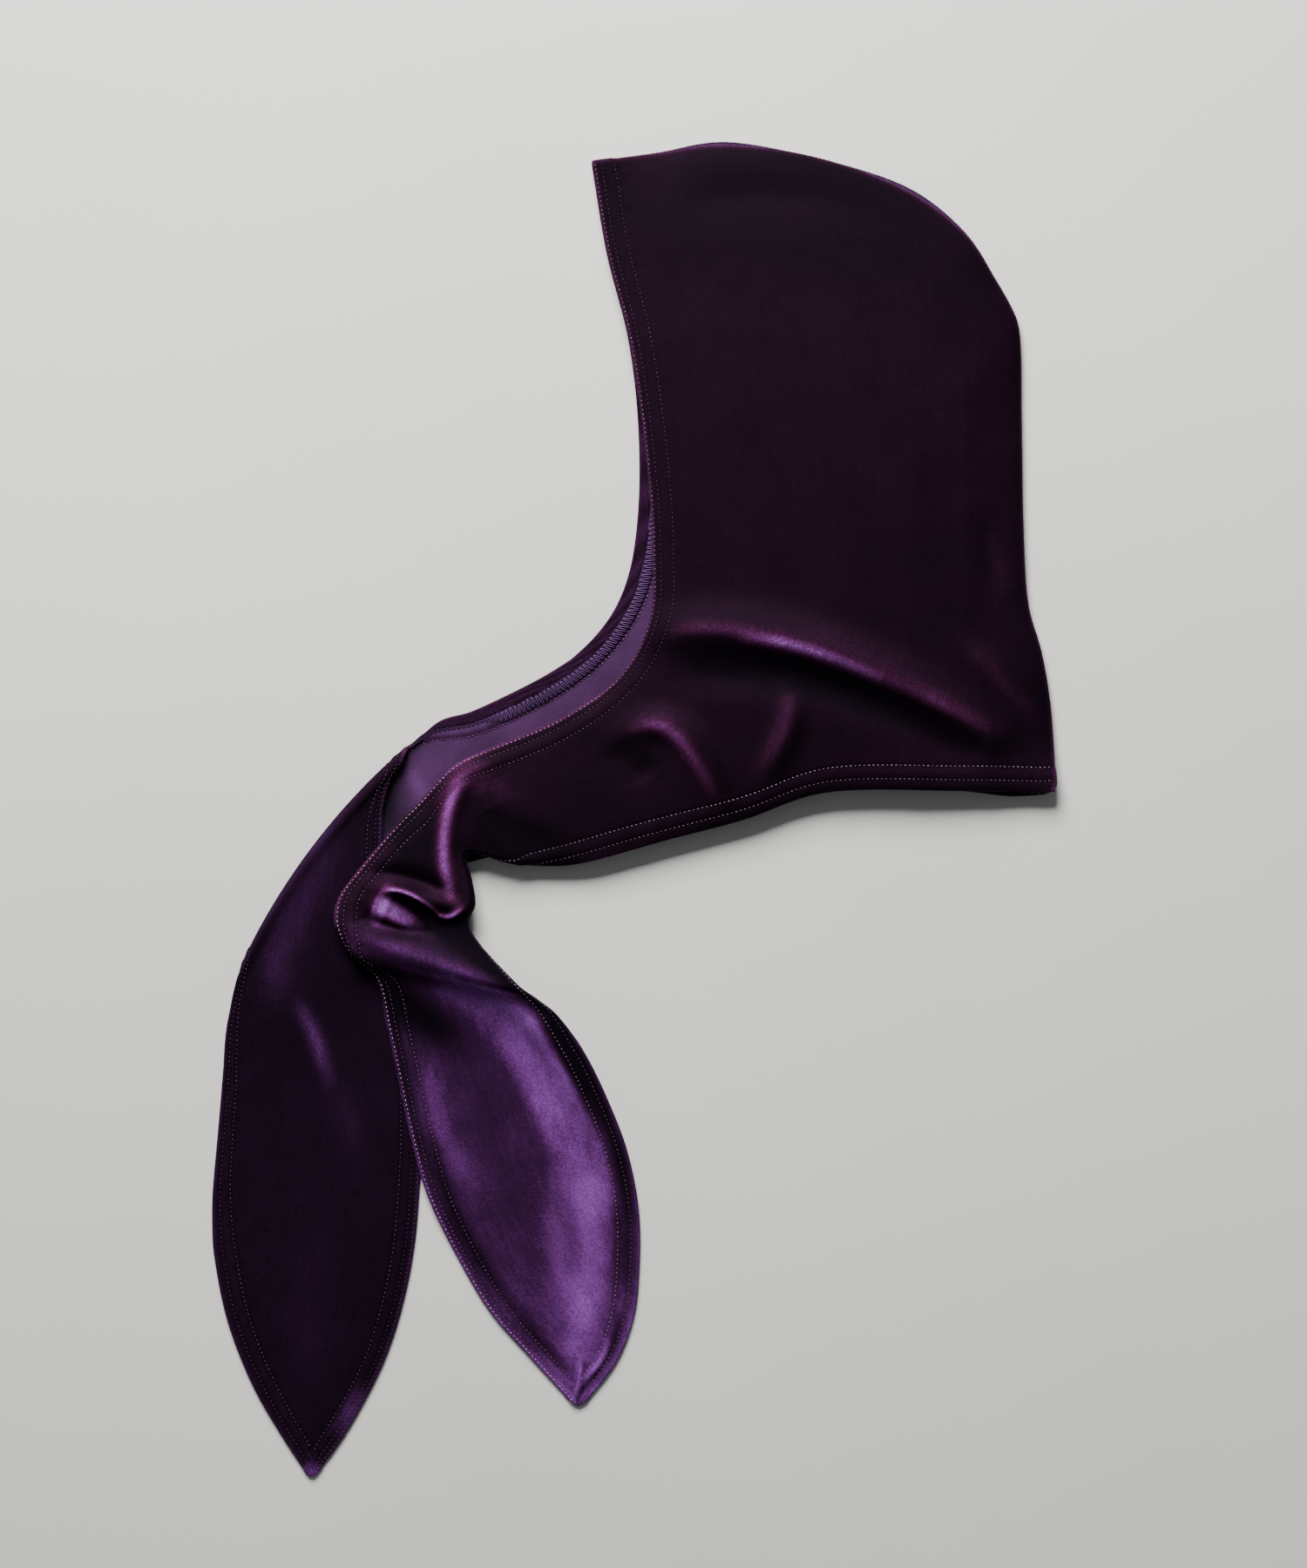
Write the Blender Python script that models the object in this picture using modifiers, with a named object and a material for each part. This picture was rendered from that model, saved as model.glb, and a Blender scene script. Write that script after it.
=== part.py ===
"""A soft velvet hood, laid down on its side.

Two cloth sides are seamed together over the crown and down the back of the head. Each side
runs out into a strap and a long pointed tie, so a half of the hood is one ribbon of cloth
that starts at the centre seam and ends at the tie's tip. The left half lies underneath. Its
tie is folded over once, slantwise. The right half lies on top. Its tie is crumpled where the
strap turns down, and its edges are turned under there.

X points to the back of the head, Y to the crown and Z up from the surface the hood lies on.
All sizes in the tables are millimetres.
"""
import math

import bpy
import numpy as np

MM = 0.001

# Cloth
CLOTH = 1.2
HEM_CLOTH = 2.4
HEM_WIDTH = 12.5
HEM_LARGEST_SHARE = 0.3
GAP = 0.3
ROUGHNESS = 0.9

# Hood heights above the surface that it lies on
SEAM_LIFT = 2.2
SEAM_TOP = SEAM_LIFT + 2 * CLOTH + 2 * GAP
SEAM_RISE = 5.0
SEAM_RISE_WIDTH = 11.0
SEAM_TURN_WIDTH = 12.0
DOME = 3.5
DOME_POWERS = (1.5, 0.6)
FRONT_CORNER_LIFT = 4.2
BACK_CORNER_LIFT = 6.0
CORNER_WIDTH = 22.0
CORNER_POWER = 12
SIDE_LENGTH = 300.0
SEAM_LENGTH = 690.0
FOLD_EASE = 25.0

# Cells of the sides along the ribbon and across it, cells across the ties and their length
SIDE_CELLS = {"right": (32, 40), "left": (12, 20)}
SEAM_CROWD = 1.15
NECK_CROWD = 1.4
TIE_CELLS = {"right": 15, "left": 11}
TIE_STEP = {"right": 10.0, "left": 14.0}
CURVE_CELLS = 24
HEIGHT_IN_STEP = 0.5

# Plan outlines of the hood, x and y, from a point CENTRE away from the middle of the whole
CENTRE = (-0.5, -0.2)
SEAM = ((-24, 370), (12, 376), (58, 381), (104, 374), (157, 354), (192, 329), (208, 305),
        (219.5, 283), (222, 224), (222, 164), (225, 117), (232.5, 90), (237.5, 60), (240.5, 10))
RIGHT_FACE = ((-64.5, 41.5), (-39.5, 52.5), (-7, 77.5), (8.5, 108), (10.5, 146), (6.5, 204),
              (-3, 269.5), (-15.5, 319.5), (-24, 370))
RIGHT_NECK = ((-28.5, -30), (14.5, -18), (62, -5.5), (106, 9.5), (186, 11), (240.5, 10))
LEFT_FACE = ((-77, 62.5), (-40.5, 82), (-15.5, 107), (-3.5, 132), (2.6, 170), (2.6, 222),
             (-3, 269.5), (-15.5, 319.5), (-24, 370))
LEFT_NECK = ((-46, -17), (0, -12), (60, -2), (106, 7), (186, 8), (240.5, 10))

# Heights of the right side's free edges, from the strap to the seam
FACE_HEIGHTS = (9.0, 10.0, 11.5, 12.5, 12.5, 11.5, 9.0, SEAM_TOP)
NECK_HEIGHTS = (12.0, 12.5, 12.0, 12.5, 14.0, 14.5, 12.0, SEAM_TOP)

# Folds of the right side and of the strap: start, middle and end in plan, half width, height
FOLD_COLUMNS = ("x1", "y1", "x2", "y2", "x3", "y3", "width", "height")
FOLD_POINTS = 25
FOLD_END = 0.06
FOLDS = {
    "main ridge": (12, 101, 100, 94, 203, 42, 12, 7.0),
    "main valley": (30, 78, 110, 70, 186, 34, 12, -3.5),
    "jaw ridge": (-4, 46, 26, 44, 50, 8, 9, 5.0),
    "jaw valley": (-34, 36, -10, 32, 10, 18, 9, -3.0),
    "nape ridge": (87, 66, 86, 44, 73, 20, 9, 3.5),
    "back ridge": (190, 91, 210, 78, 230, 56, 9, 2.5),
    "back crease": (201, 166, 205, 144, 209, 124, 10, -2.0),
    "crown dip": (40, 350, 90, 354, 140, 344, 12, -1.5),
    "strap ridge": (-84, 30, -108, -4, -108, -50, 7, 5.0),
    "strap lip": (-144, -46, -124, -48, -100, -58, 5, 3.0),
}
TIE_FOLDS = {
    "roll crest": (-104, -93, -74, -107, -52, -128, 7, 3.5),
    "tie ridge": (-58, -121, -38, -146, -25, -174, 8, 5.0),
    "tie ridge end": (-27, -168, -17, -198, -11, -230, 7, 3.0),
}

# Sections of the ties from strap to tip: the two ends in plan, the sideways bow of the line
# between them, the heights at its ends and middle, the cloth turned under at each end and
# the radius of that turn. The left tie's FOLD_ROW is the outline of its slanting fold, whose
# ends slide along it by FOLD_SLIDES for each millimetre that the cloth goes in from it.
TIE_COLUMNS = ("x1", "y1", "x2", "y2", "bow", "z1", "z_mid", "z2", "turn1", "turn2", "radius")
RIGHT_TIE = (
    (-64.5, 41.5, -28.5, -30, 0, 9.0, 14.0, 12.0, 0, 0, 4.5),
    (-84, 34, -51, -34, 0, 9.5, 15.0, 12.5, 0, 8, 4.5),
    (-104.5, 23.5, -75, -30, 0, 10.0, 16.0, 13.5, 0, 16, 4.5),
    (-122, 5, -91, -25, 0, 10.0, 17.0, 14.5, 0, 20, 4.5),
    (-140, -14, -96, -28, 0, 10.0, 18.0, 15.0, 0, 24, 4.5),
    (-156, -33, -93, -40, 0, 10.5, 19.0, 16.0, 0, 26, 4.5),
    (-168, -49, -91, -54, 0, 11.5, 19.0, 17.0, 0, 26, 4.5),
    (-170.5, -60, -94, -68, 0, 14.0, 16.0, 16.0, 0, 22, 4.8),
    (-168, -72, -68, -99, 0, 15.0, 24.0, 19.0, 5, 16, 5.2),
    (-161, -84, -56, -108, 0, 14.5, 19.0, 15.0, 10, 10, 4.5),
    (-148, -96, -44, -118, 0, 8.0, 13.0, 11.0, 2, 4, 3.0),
    (-141, -125, -28.5, -142, 0, 6.2, 7.0, 7.5, 0, 0, 3.0),
    (-135, -153, -16.5, -167, 0, 6.0, 5.0, 5.0, 0, 0, 3.0),
    (-127.5, -188, -5.5, -196, 0, 5.9, 4.4, 3.5, 0, 0, 3.0),
    (-118, -221, 1, -229, 0, 5.0, 4.2, 2.8, 0, 0, 3.0),
    (-103, -253, 1.5, -262, 0, 2.8, 4.2, 2.8, 0, 0, 3.0),
    (-82.5, -287.5, -2, -292, 0, 2.8, 3.6, 2.8, 0, 0, 3.0),
    (-60, -313, -12, -317, 0, 2.8, 3.0, 2.8, 0, 0, 3.0),
    (-34.5, -341, -30.5, -341, 0, 2.7, 2.7, 2.7, 0, 0, 3.0),
)
LEFT_TIE = (
    (-77, 62.5, -46, -17, 0, 0, 0, 0, 0, 0, 3.0),
    (-94, 55, -108, -33, 0, 0, 0, 0, 0, 0, 3.0),
    (-112, 49.5, -183, -60, 2, 0, 0, 0, 0, 0, 3.0),
    (-132, 35.5, -225.5, -88, 8, 3.7, 4.0, 3.7, 0, 0, 3.0),
    (-140.5, 17, -230, -111, 6, 6.4, 7.2, 5.8, 0, 0, 3.0),
    (-145, 2, -232.6, -123, 4, 5.9, 6.4, 5.2, 0, 0, 3.0),
    (-146, -14, -234, -134, 3, 5.6, 5.8, 4.6, 0, 0, 3.0),
    (-145, -32, -235, -149, 2, 5.5, 5.2, 3.8, 0, 0, 3.0),
    (-140, -58, -236.5, -165, 0, 5.4, 4.2, 2.8, 0, 0, 3.0),
    (-133, -90, -239, -193, 0, 3.0, 2.8, 2.6, 0, 0, 3.0),
    (-127, -127, -241.3, -220, 0, 2.5, 2.4, 2.6, 0, 0, 3.0),
    (-124, -170, -241.5, -240, 0, 2.5, 2.6, 2.6, 0, 0, 3.0),
    (-124.5, -215, -240.3, -257, 0, 2.5, 3.4, 2.6, 0, 0, 3.0),
    (-130, -265, -233, -293, 0, 2.6, 4.0, 2.6, 0, 0, 3.0),
    (-144, -314, -219, -329, 0, 2.6, 3.6, 2.6, 0, 0, 3.0),
    (-166, -356, -203, -357, 0, 2.6, 2.8, 2.6, 0, 0, 3.0),
    (-184, -381.5, -187, -381.5, 0, 2.6, 2.6, 2.6, 0, 0, 3.0),
)
FOLD_ROW = 3
FOLD_SLIDES = (2.2, 1.6)
FOLD_ANGLES = (-90.0, -45.0, 0.0, 45.0, 90.0)

COLOURS = {
    "right_side": (0.018, 0.007, 0.018),
    "left_side": (0.085, 0.034, 0.105),
    "right_tie": (0.060, 0.018, 0.062),
    "left_tie": (0.016, 0.006, 0.018),
}


def spline(points, step=None):
    """Smooth curve through rows of numbers, whose knots are spaced by the root of the chord."""
    p = np.asarray(points, float)
    chord = np.maximum(np.linalg.norm(np.diff(p[:, :2], axis=0), axis=1), 1.0)
    knots = np.concatenate([[0.0], np.cumsum(np.sqrt(chord))])
    slope = np.gradient(p, knots, axis=0, edge_order=1)
    lines = []
    for i in range(len(p) - 1):
        h = knots[i + 1] - knots[i]
        cells = CURVE_CELLS if step is None else max(1, round(chord[i] / step))
        t = np.linspace(0.0, 1.0, cells, endpoint=False)[:, None]
        lines.append((1 + 2 * t) * (1 - t) ** 2 * p[i] + t * (1 - t) ** 2 * h * slope[i]
                     + t * t * (3 - 2 * t) * p[i + 1] + t * t * (t - 1) * h * slope[i + 1])
    return np.vstack(lines + [p[-1:]])


def by_length(curve, fraction):
    """Points of a sampled curve at fractions of its length in plan."""
    step = np.linalg.norm(np.diff(curve[:, :2], axis=0), axis=1)
    length = np.concatenate([[0.0], np.cumsum(step)])
    where = np.asarray(fraction) * length[-1]
    return np.stack([np.interp(where, length, curve[:, k]) for k in range(curve.shape[1])], axis=-1)


def fold_height(x, y, row):
    """Height that one fold adds: a bell across its curved line, fading at both ends."""
    f = dict(zip(FOLD_COLUMNS, row))
    t = np.linspace(0.0, 1.0, FOLD_POINTS)
    line_x = (1 - t) * (1 - 2 * t) * f["x1"] + 4 * t * (1 - t) * f["x2"] + t * (2 * t - 1) * f["x3"]
    line_y = (1 - t) * (1 - 2 * t) * f["y1"] + 4 * t * (1 - t) * f["y2"] + t * (2 * t - 1) * f["y3"]
    distance = np.hypot(x[..., None] - line_x, y[..., None] - line_y)
    nearest = distance.argmin(axis=-1)
    fade = np.sqrt(np.sin(math.pi * (FOLD_END + (1 - 2 * FOLD_END) * t)))
    return f["height"] * fade[nearest] * np.exp(-(distance.min(axis=-1) / f["width"]) ** 2)


def across(width, cells, crowd=1.0):
    """Fractions across a ribbon: two cells in each hem, the others may crowd to its far edge."""
    hem = np.minimum(HEM_WIDTH / width, HEM_LARGEST_SHARE)[:, None]
    middle = 1 - (1 - np.linspace(0.0, 1.0, cells - 3)[None, 1:-1]) ** crowd
    inner = hem + (1 - 2 * hem) * middle
    zero = np.zeros_like(hem)
    return np.hstack([zero, 0.5 * hem, hem, inner, 1 - hem, 1 - 0.5 * hem, zero + 1])


def side_plan(face, neck, cells):
    """Plan grid of a side: boundary curves blended between strap, seam, face and neck edge."""
    along, over = cells
    u = (1 - (1 - np.linspace(0.0, 1.0, along + 1)) ** SEAM_CROWD)[:, None]
    face_line = by_length(spline(face), u[:, 0])
    neck_line = by_length(spline(neck), u[:, 0])
    seam_line = spline(SEAM)
    seam_length = np.linalg.norm(np.diff(seam_line, axis=0), axis=1).sum()
    root_width = math.dist(face[0], neck[0])
    v = across(root_width + (seam_length - root_width) * u[:, 0], over, NECK_CROWD)
    seam = by_length(seam_line, v)
    root = np.array(face[0]) + (np.array(neck[0]) - face[0]) * v[..., None]
    uu = np.broadcast_to(u, v.shape)[..., None]
    vv = v[..., None]
    corners = ((1 - uu) * root + uu * (np.array(SEAM[0]) + (np.array(SEAM[-1]) - SEAM[0]) * vv))
    plan = (1 - vv) * face_line[:, None] + vv * neck_line[:, None] + (1 - uu) * root + uu * seam
    return plan - corners, uu[..., 0], v


def right_side_grid(cells):
    """Outer surface of the right side: edge heights blended, a low dome, the seam and folds."""
    plan, u, v = side_plan(RIGHT_FACE, RIGHT_NECK, cells)
    x, y = plan[..., 0], plan[..., 1]
    heights = np.linspace(0.0, 1.0, len(FACE_HEIGHTS))
    face_z = np.interp(u, heights, FACE_HEIGHTS)
    neck_z = np.interp(u, heights, NECK_HEIGHTS)
    start = dict(zip(TIE_COLUMNS, RIGHT_TIE[0]))
    root_z = section_height(v, start["z1"], start["z_mid"], start["z2"])
    root_line = (1 - v) * start["z1"] + v * start["z2"]
    z = (1 - v) * face_z + v * neck_z + (1 - u) * (root_z - root_line)
    seam_distance = (1 - u) * SIDE_LENGTH
    z += SEAM_RISE * (1 - np.exp(-seam_distance / SEAM_RISE_WIDTH)) * np.sqrt(4 * v * (1 - v)) * u
    along, over = DOME_POWERS
    z += DOME * (4 * u * (1 - u)) ** along * (4 * v * (1 - v)) ** over
    front = v * SEAM_LENGTH
    back = (1 - v) * SEAM_LENGTH
    for lift, distance in ((FRONT_CORNER_LIFT, front), (BACK_CORNER_LIFT, back)):
        z += lift * u ** CORNER_POWER * np.exp(-(distance / CORNER_WIDTH) ** 2)
    ease = np.clip(seam_distance / FOLD_EASE, 0.0, 1.0)
    for row in FOLDS.values():
        z += ease * fold_height(x, y, row)
    return np.stack([x, y, z], axis=-1)


def left_side_grid(cells):
    """Outer surface of the left side: flat on the surface below, turned up along the seam."""
    plan, u, v = side_plan(LEFT_FACE, LEFT_NECK, cells)
    turn = np.clip(1 - (1 - u) * SIDE_LENGTH / SEAM_TURN_WIDTH, 0.0, 1.0)
    return np.concatenate([plan, (SEAM_LIFT * turn ** 2)[..., None]], axis=-1)


def section_height(t, z1, z_mid, z2):
    """Height across a section: the end heights fade into the middle one by cubes."""
    left = (1 - t) ** 3
    right = t ** 3
    return z1 * left + z2 * right + z_mid * (1 - left - right)


def tie_grid(table, over, step):
    """Outer surface of a tie: smooth sections, whose ends may turn under round a radius."""
    rows = spline(centre_first(table), step)[:, 2:]
    c = {name: rows[:, k:k + 1] for k, name in enumerate(TIE_COLUMNS)}
    span = np.hypot(c["x2"] - c["x1"], c["y2"] - c["y1"])
    turns = [np.maximum(c["turn1"], 0.0), np.maximum(c["turn2"], 0.0)]
    inset = [c["radius"] * np.sin(np.minimum(turn / c["radius"], math.pi / 2)) for turn in turns]
    flat = span - inset[0] - inset[1]
    width = turns[0] + flat + turns[1]
    s = across(width[:, 0], over) * width - turns[0]
    place = inset[0] + np.clip(s, 0.0, flat)
    drop = np.zeros_like(place)
    for over_edge, side in ((-s, -1.0), (s - flat, 1.0)):
        q = np.maximum(over_edge, 0.0)
        angle = np.minimum(q / c["radius"], math.pi)
        straight = np.maximum(q - math.pi * c["radius"], 0.0)
        place = place + side * (c["radius"] * np.sin(angle) - straight)
        drop = drop + c["radius"] * (1 - np.cos(angle))
    t = place / span
    bow = 4 * t * (1 - t) * c["bow"] / span
    x = c["x1"] + (c["x2"] - c["x1"]) * t + bow * (c["y2"] - c["y1"])
    y = c["y1"] + (c["y2"] - c["y1"]) * t - bow * (c["x2"] - c["x1"])
    z = section_height(np.clip(s / flat, 0.0, 1.0), c["z1"], c["z_mid"], c["z2"]) - drop
    return np.stack([x, y, np.maximum(z, 0.0)], axis=-1)


def with_round_fold(table, place):
    """The table with the row of a fold's outline opened into rows round half a circle."""
    t = np.asarray(table, float)
    nose = t[place]
    along = (nose[2:4] - nose[0:2]) / np.linalg.norm(nose[2:4] - nose[0:2])
    inwards = np.array([-along[1], along[0]])
    turned = []
    for angle in np.radians(FOLD_ANGLES):
        row = nose.copy()
        row[5:8] = nose[5:8] * (1 + math.sin(angle))
        shift = nose[5] * (1 - math.cos(angle))
        slide = shift * np.sign(angle)
        row[0:2] += inwards * shift + along * slide * FOLD_SLIDES[0]
        row[2:4] += inwards * shift + along * slide * FOLD_SLIDES[1]
        turned.append(row)
    return np.vstack([t[:place], turned, t[place + 1:]])


def centre_first(table):
    """The table's rows with each section's middle put before them, which spaces the sections."""
    t = np.asarray(table, float)
    middle = 0.5 * (t[:, 0:2] + t[:, 2:4])
    return np.hstack([middle + t[:, 6:7] * HEIGHT_IN_STEP, t])


def pull_back(grid, row, towards, distance):
    """Moves one row along the ribbon, so that two pieces that meet there keep their gap."""
    step = grid[towards] - grid[row]
    grid[row] += step / np.linalg.norm(step, axis=-1, keepdims=True) * distance
    return grid


def material(name):
    """Soft cloth finish in the piece's own colour."""
    made = bpy.data.materials.new(name)
    made.use_nodes = True
    shader = made.node_tree.nodes["Principled BSDF"]
    shader.inputs["Base Color"].default_value = (*COLOURS[name], 1.0)
    shader.inputs["Roughness"].default_value = ROUGHNESS
    shader.inputs["Metallic"].default_value = 0.0
    return made


def cloth(name, grid, collection):
    """A closed wall of cloth: the grid is its outer surface, and hems are twice as thick."""
    rows, columns = grid.shape[:2]
    index = np.arange(rows * columns).reshape(rows, columns)
    quads = np.stack([index[:-1, :-1], index[:-1, 1:], index[1:, 1:], index[1:, :-1]], axis=-1)
    mesh = bpy.data.meshes.new(name)
    points = (grid - np.array([*CENTRE, 0.0])) * MM
    mesh.from_pydata(points.reshape(-1, 3).tolist(), [], quads.reshape(-1, 4).tolist())
    mesh.materials.append(material(name))
    mesh.shade_smooth()
    piece = bpy.data.objects.new(name, mesh)
    collection.objects.link(piece)
    hem = piece.vertex_groups.new(name="hem")
    hem.add(index[:, [0, 1, 2, -3, -2, -1]].ravel().tolist(), 1.0, "REPLACE")
    wall = piece.modifiers.new("wall", "SOLIDIFY")
    wall.thickness = HEM_CLOTH * MM
    wall.offset = -1.0
    wall.vertex_group = hem.name
    wall.thickness_vertex_group = CLOTH / HEM_CLOTH
    return piece


def main():
    for old in list(bpy.data.objects):
        bpy.data.objects.remove(old, do_unlink=True)
    collection = bpy.data.collections.new("velvet_hood")
    bpy.context.scene.collection.children.link(collection)
    right_side = right_side_grid(SIDE_CELLS["right"])
    left_side = left_side_grid(SIDE_CELLS["left"])
    right_tie = tie_grid(RIGHT_TIE, TIE_CELLS["right"], TIE_STEP["right"])
    left_tie = tie_grid(with_round_fold(LEFT_TIE, FOLD_ROW), TIE_CELLS["left"], TIE_STEP["left"])
    for row in (FOLDS["strap ridge"], FOLDS["strap lip"], *TIE_FOLDS.values()):
        right_tie[..., 2] += fold_height(right_tie[..., 0], right_tie[..., 1], row)
    cloth("right_side", pull_back(right_side, 0, 1, GAP), collection)
    cloth("left_side", pull_back(left_side, 0, 1, GAP)[:, ::-1], collection)
    cloth("right_tie", right_tie[::-1], collection)
    cloth("left_tie", left_tie, collection)


if __name__ == "__main__":
    main()
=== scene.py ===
"""The finished look of a velvet hood with long ties, laid down on its side.

Each half of the hood is one ribbon of cloth, from its tie's tip over the strap to the centre
seam. A ribbon is a grid of points in millimetres, rows along it and columns from the face edge
to the neck edge. The grid is the pile side, and the wall, the stitches and the threads are
worked out from it. X points to the back of the head, Y to the crown and Z up from the floor.
"""
import math
from functools import lru_cache

import bpy
import numpy as np
from bpy.props import FloatProperty, FloatVectorProperty, IntProperty, PointerProperty
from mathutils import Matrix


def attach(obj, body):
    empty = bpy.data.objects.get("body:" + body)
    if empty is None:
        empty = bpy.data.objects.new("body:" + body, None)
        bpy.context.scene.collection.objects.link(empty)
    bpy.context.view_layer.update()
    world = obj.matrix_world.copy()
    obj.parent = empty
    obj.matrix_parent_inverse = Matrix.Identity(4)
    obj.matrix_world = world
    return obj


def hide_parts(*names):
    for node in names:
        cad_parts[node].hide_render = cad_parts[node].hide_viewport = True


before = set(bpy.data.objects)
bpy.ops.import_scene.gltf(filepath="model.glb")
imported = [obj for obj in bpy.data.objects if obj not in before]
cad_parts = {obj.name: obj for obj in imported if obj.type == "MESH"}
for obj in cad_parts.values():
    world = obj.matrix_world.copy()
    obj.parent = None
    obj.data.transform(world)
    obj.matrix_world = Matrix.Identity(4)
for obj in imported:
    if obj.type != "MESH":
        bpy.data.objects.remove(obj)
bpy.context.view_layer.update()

bl_info = {
    "name": "Velvet Hood",
    "version": (1, 0, 0),
    "blender": (4, 5, 0),
    "location": "View3D > Sidebar > Velvet Hood",
    "description": "Builds a stitched velvet hood with long ties, laid down on its side",
    "category": "Add Mesh",
}

MM = 0.001
CENTRE = (-0.5, -0.2)
FLOOR_CLEAR = 0.02

# Heights of the hood
CLOTH = 1.2
GAP = 0.3
SEAM_LIFT = 2.2
SEAM_TOP = SEAM_LIFT + 2 * CLOTH + 2 * GAP
SEAM_RISE = 5.0
SEAM_RISE_WIDTH = 11.0
SEAM_TURN_WIDTH = 12.0
DOME = 3.5
DOME_POWERS = (1.5, 0.6)
SIDE_LENGTH = 300.0
SEAM_LENGTH = 690.0
FOLD_EASE = 25.0

# Rise of the upper half at the front and back ends of the seam: height and half width
FRONT_CORNER = (4.2, 22.0)
BACK_CORNER = (6.0, 22.0)
CORNER_POWER = 12

# Grids: rows of a side, length of a tie's row, columns in each hem band and between them
CURVE_CELLS = 48
SIDE_ROWS = 128
TIE_STEP = 2.3
CRUMPLE_STEP = 1.15
CRUMPLE_ROWS = (5, 10)
HEM_BAND = 16.0
HEM_BAND_SHARE = 0.3
HEM_CELLS = 13
MIDDLE_CELLS = 98
SEAM_CROWD = 1.15
NECK_CROWD = 0.4
NECK_CROWD_RUN = 0.35

# Rows on each side of a tie's root that are smoothed, and how often
ROOT_ROWS = 14
ROOT_ROUNDS = 30

# Ramps from tie to hood and up to the root: first row, counted from the root, and length
ON_HOOD = (-10, 40)
PAST_ROOT = (-12, 12)

# Where the rows of stitches lie: distance from the edge on the ties and the face edge, and on
# the hood's neck edge. A row needs a ribbon wider than a share of this distance and a margin
ROW_PLACES = {"rim": (0.9, 0.9), "outer": (4.5, 6.0), "inner": (12.0, 14.0),
              "wrong_side": (13.6, 13.6)}
ROW_ROOM = (2.2, 1.0)

# Hems: where the double cloth ends, and the height and half width of each form. A wave of
# puckers has its length, strength and start
HEM_WIDTH = 13.5
HEM_STEP = 2.5
GROOVE = (-0.38, 0.9)
PUFF = (0.30, 2.6)
PUCKER = (0.12, 4.0)
PUCKER_WAVES = ((8.3, 1.0, 0.0), (5.1, 0.6, 1.3))
PUCKER_SHIFT = 1.0
FLAT_FACE_HEM = 0.65

# Painted sheen and painted shade along the hems and the seam: strength and half width of each band
RIM_SHEEN = {"face": (0.22, 1.1), "neck": (0.13, 1.1)}
PUFF_SHEEN = (0.03, 2.4)
OUTER_GROOVE_SHADE = (-0.06, 0.9)
INNER_GROOVE_SHADE = (-0.07, 1.4)
SEAM_SHEEN = (0.24, 1.3)
HEM_SHADE = {"face": -0.015, "neck": 0.0}
HEM_SHADE_RUN = 3.0

# Wrong side: width of the turned pile, both lines of the overlock, and where each has faded out
# and over what length
TURNED_PILE = 6.0
PILE_END = (6.8, 1.2)
INNER_PILE = 0.18
INNER_BLOOM = 0.6
INNER_RIBS = 0.06
RIB_PITCH = 2.6
OVERLOCK = (6.4, 12.6)
OVERLOCK_END = (13.6, 2.0)
OVERLOCK_NARROW = 0.2
UNDER_OVERLOCK = -0.42

# Rows of stitches: the edge that one follows, its place there, and the painted light of its thread on
# tie and hood
ROW_COLUMNS = ("edge", "row", "tie_shade", "hood_shade")
OUTSIDE_ROWS = {
    "right": (("face", "rim", 1.05, 0.36),
              ("face", "outer", 0.20, 0.10),
              ("face", "inner", 0.26, 0.12),
              ("neck", "outer", 0.20, 0.36),
              ("neck", "inner", 0.46, 0.70)),
    "left": (("face", "rim", 0.10, 0.25),
             ("face", "outer", 0.10, 0.16),
             ("face", "inner", 0.18, 0.30),
             ("neck", "outer", 0.10, 0.20),
             ("neck", "inner", 0.18, 0.20)),
}
INSIDE_ROWS = (("face", "wrong_side", 0.25, 0.50), ("neck", "wrong_side", 0.25, 0.45))

# Stitches: share of the pitch, spread of brightness, form of one stitch, gap on the wrong side
STITCH_SHARE = 0.38
STITCH_SHOWS = (0.35, 1.25)
STITCH_ARCH = 0.34
STITCH_SINK = 0.10
STITCH_POINTS = (-0.5, -0.32, 0.0, 0.32, 0.5)
STITCH_TAPER = (0.45, 1.0, 1.1, 1.0, 0.45)
STITCH_SIDES = 5
WRONG_SIDE_CLEAR = 0.1

# Overlock threads: brightness from tie to hood and at the far end of a rung, points of a rung
OVERLOCK_SHADE = (0.15, 1.0)
OVERLOCK_FAR_SHADE = 0.55
OVERLOCK_SIDES = 4
OVERLOCK_RUNG = 0.85
OVERLOCK_POINTS = 8
OVERLOCK_CLEAR = 0.2

# Pressed centre seam
SEAM_POINTS = 420
SEAM_SIDES = 10
SEAM_INSET = 1.0
SEAM_THICKNESS = 1.6 * CLOTH

# Fibres past the edges: lean, depth of the root, shares of the length and of the thickness
FRINGE_SEEDS = {"left": 7, "right": 11}
FRINGE_UPRIGHT = 0.7
FRINGE_LEAN = 0.45
FRINGE_RISE = 0.7
FRINGE_DEPTHS = (0.2, 1.9)
FRINGE_LENGTHS = (0.5, 1.2)
FRINGE_ROOT = 0.3
FRINGE_MIDDLE = 0.6
FRINGE_TAPER = (1.0, 0.8, 0.15)
FRINGE_CLEAR = 0.05
FRINGE_SIDES = 3

# Fold of the left tie, and rim of the walls
FOLD_ROW = 3
FOLD_SLIDES = (2.2, 1.6)
FOLD_TURNS = 9
TURNED_FADE = 1.5
RIM_BULGE = 0.9
RIM_ANGLES = (45.0, 90.0, 135.0)

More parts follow.
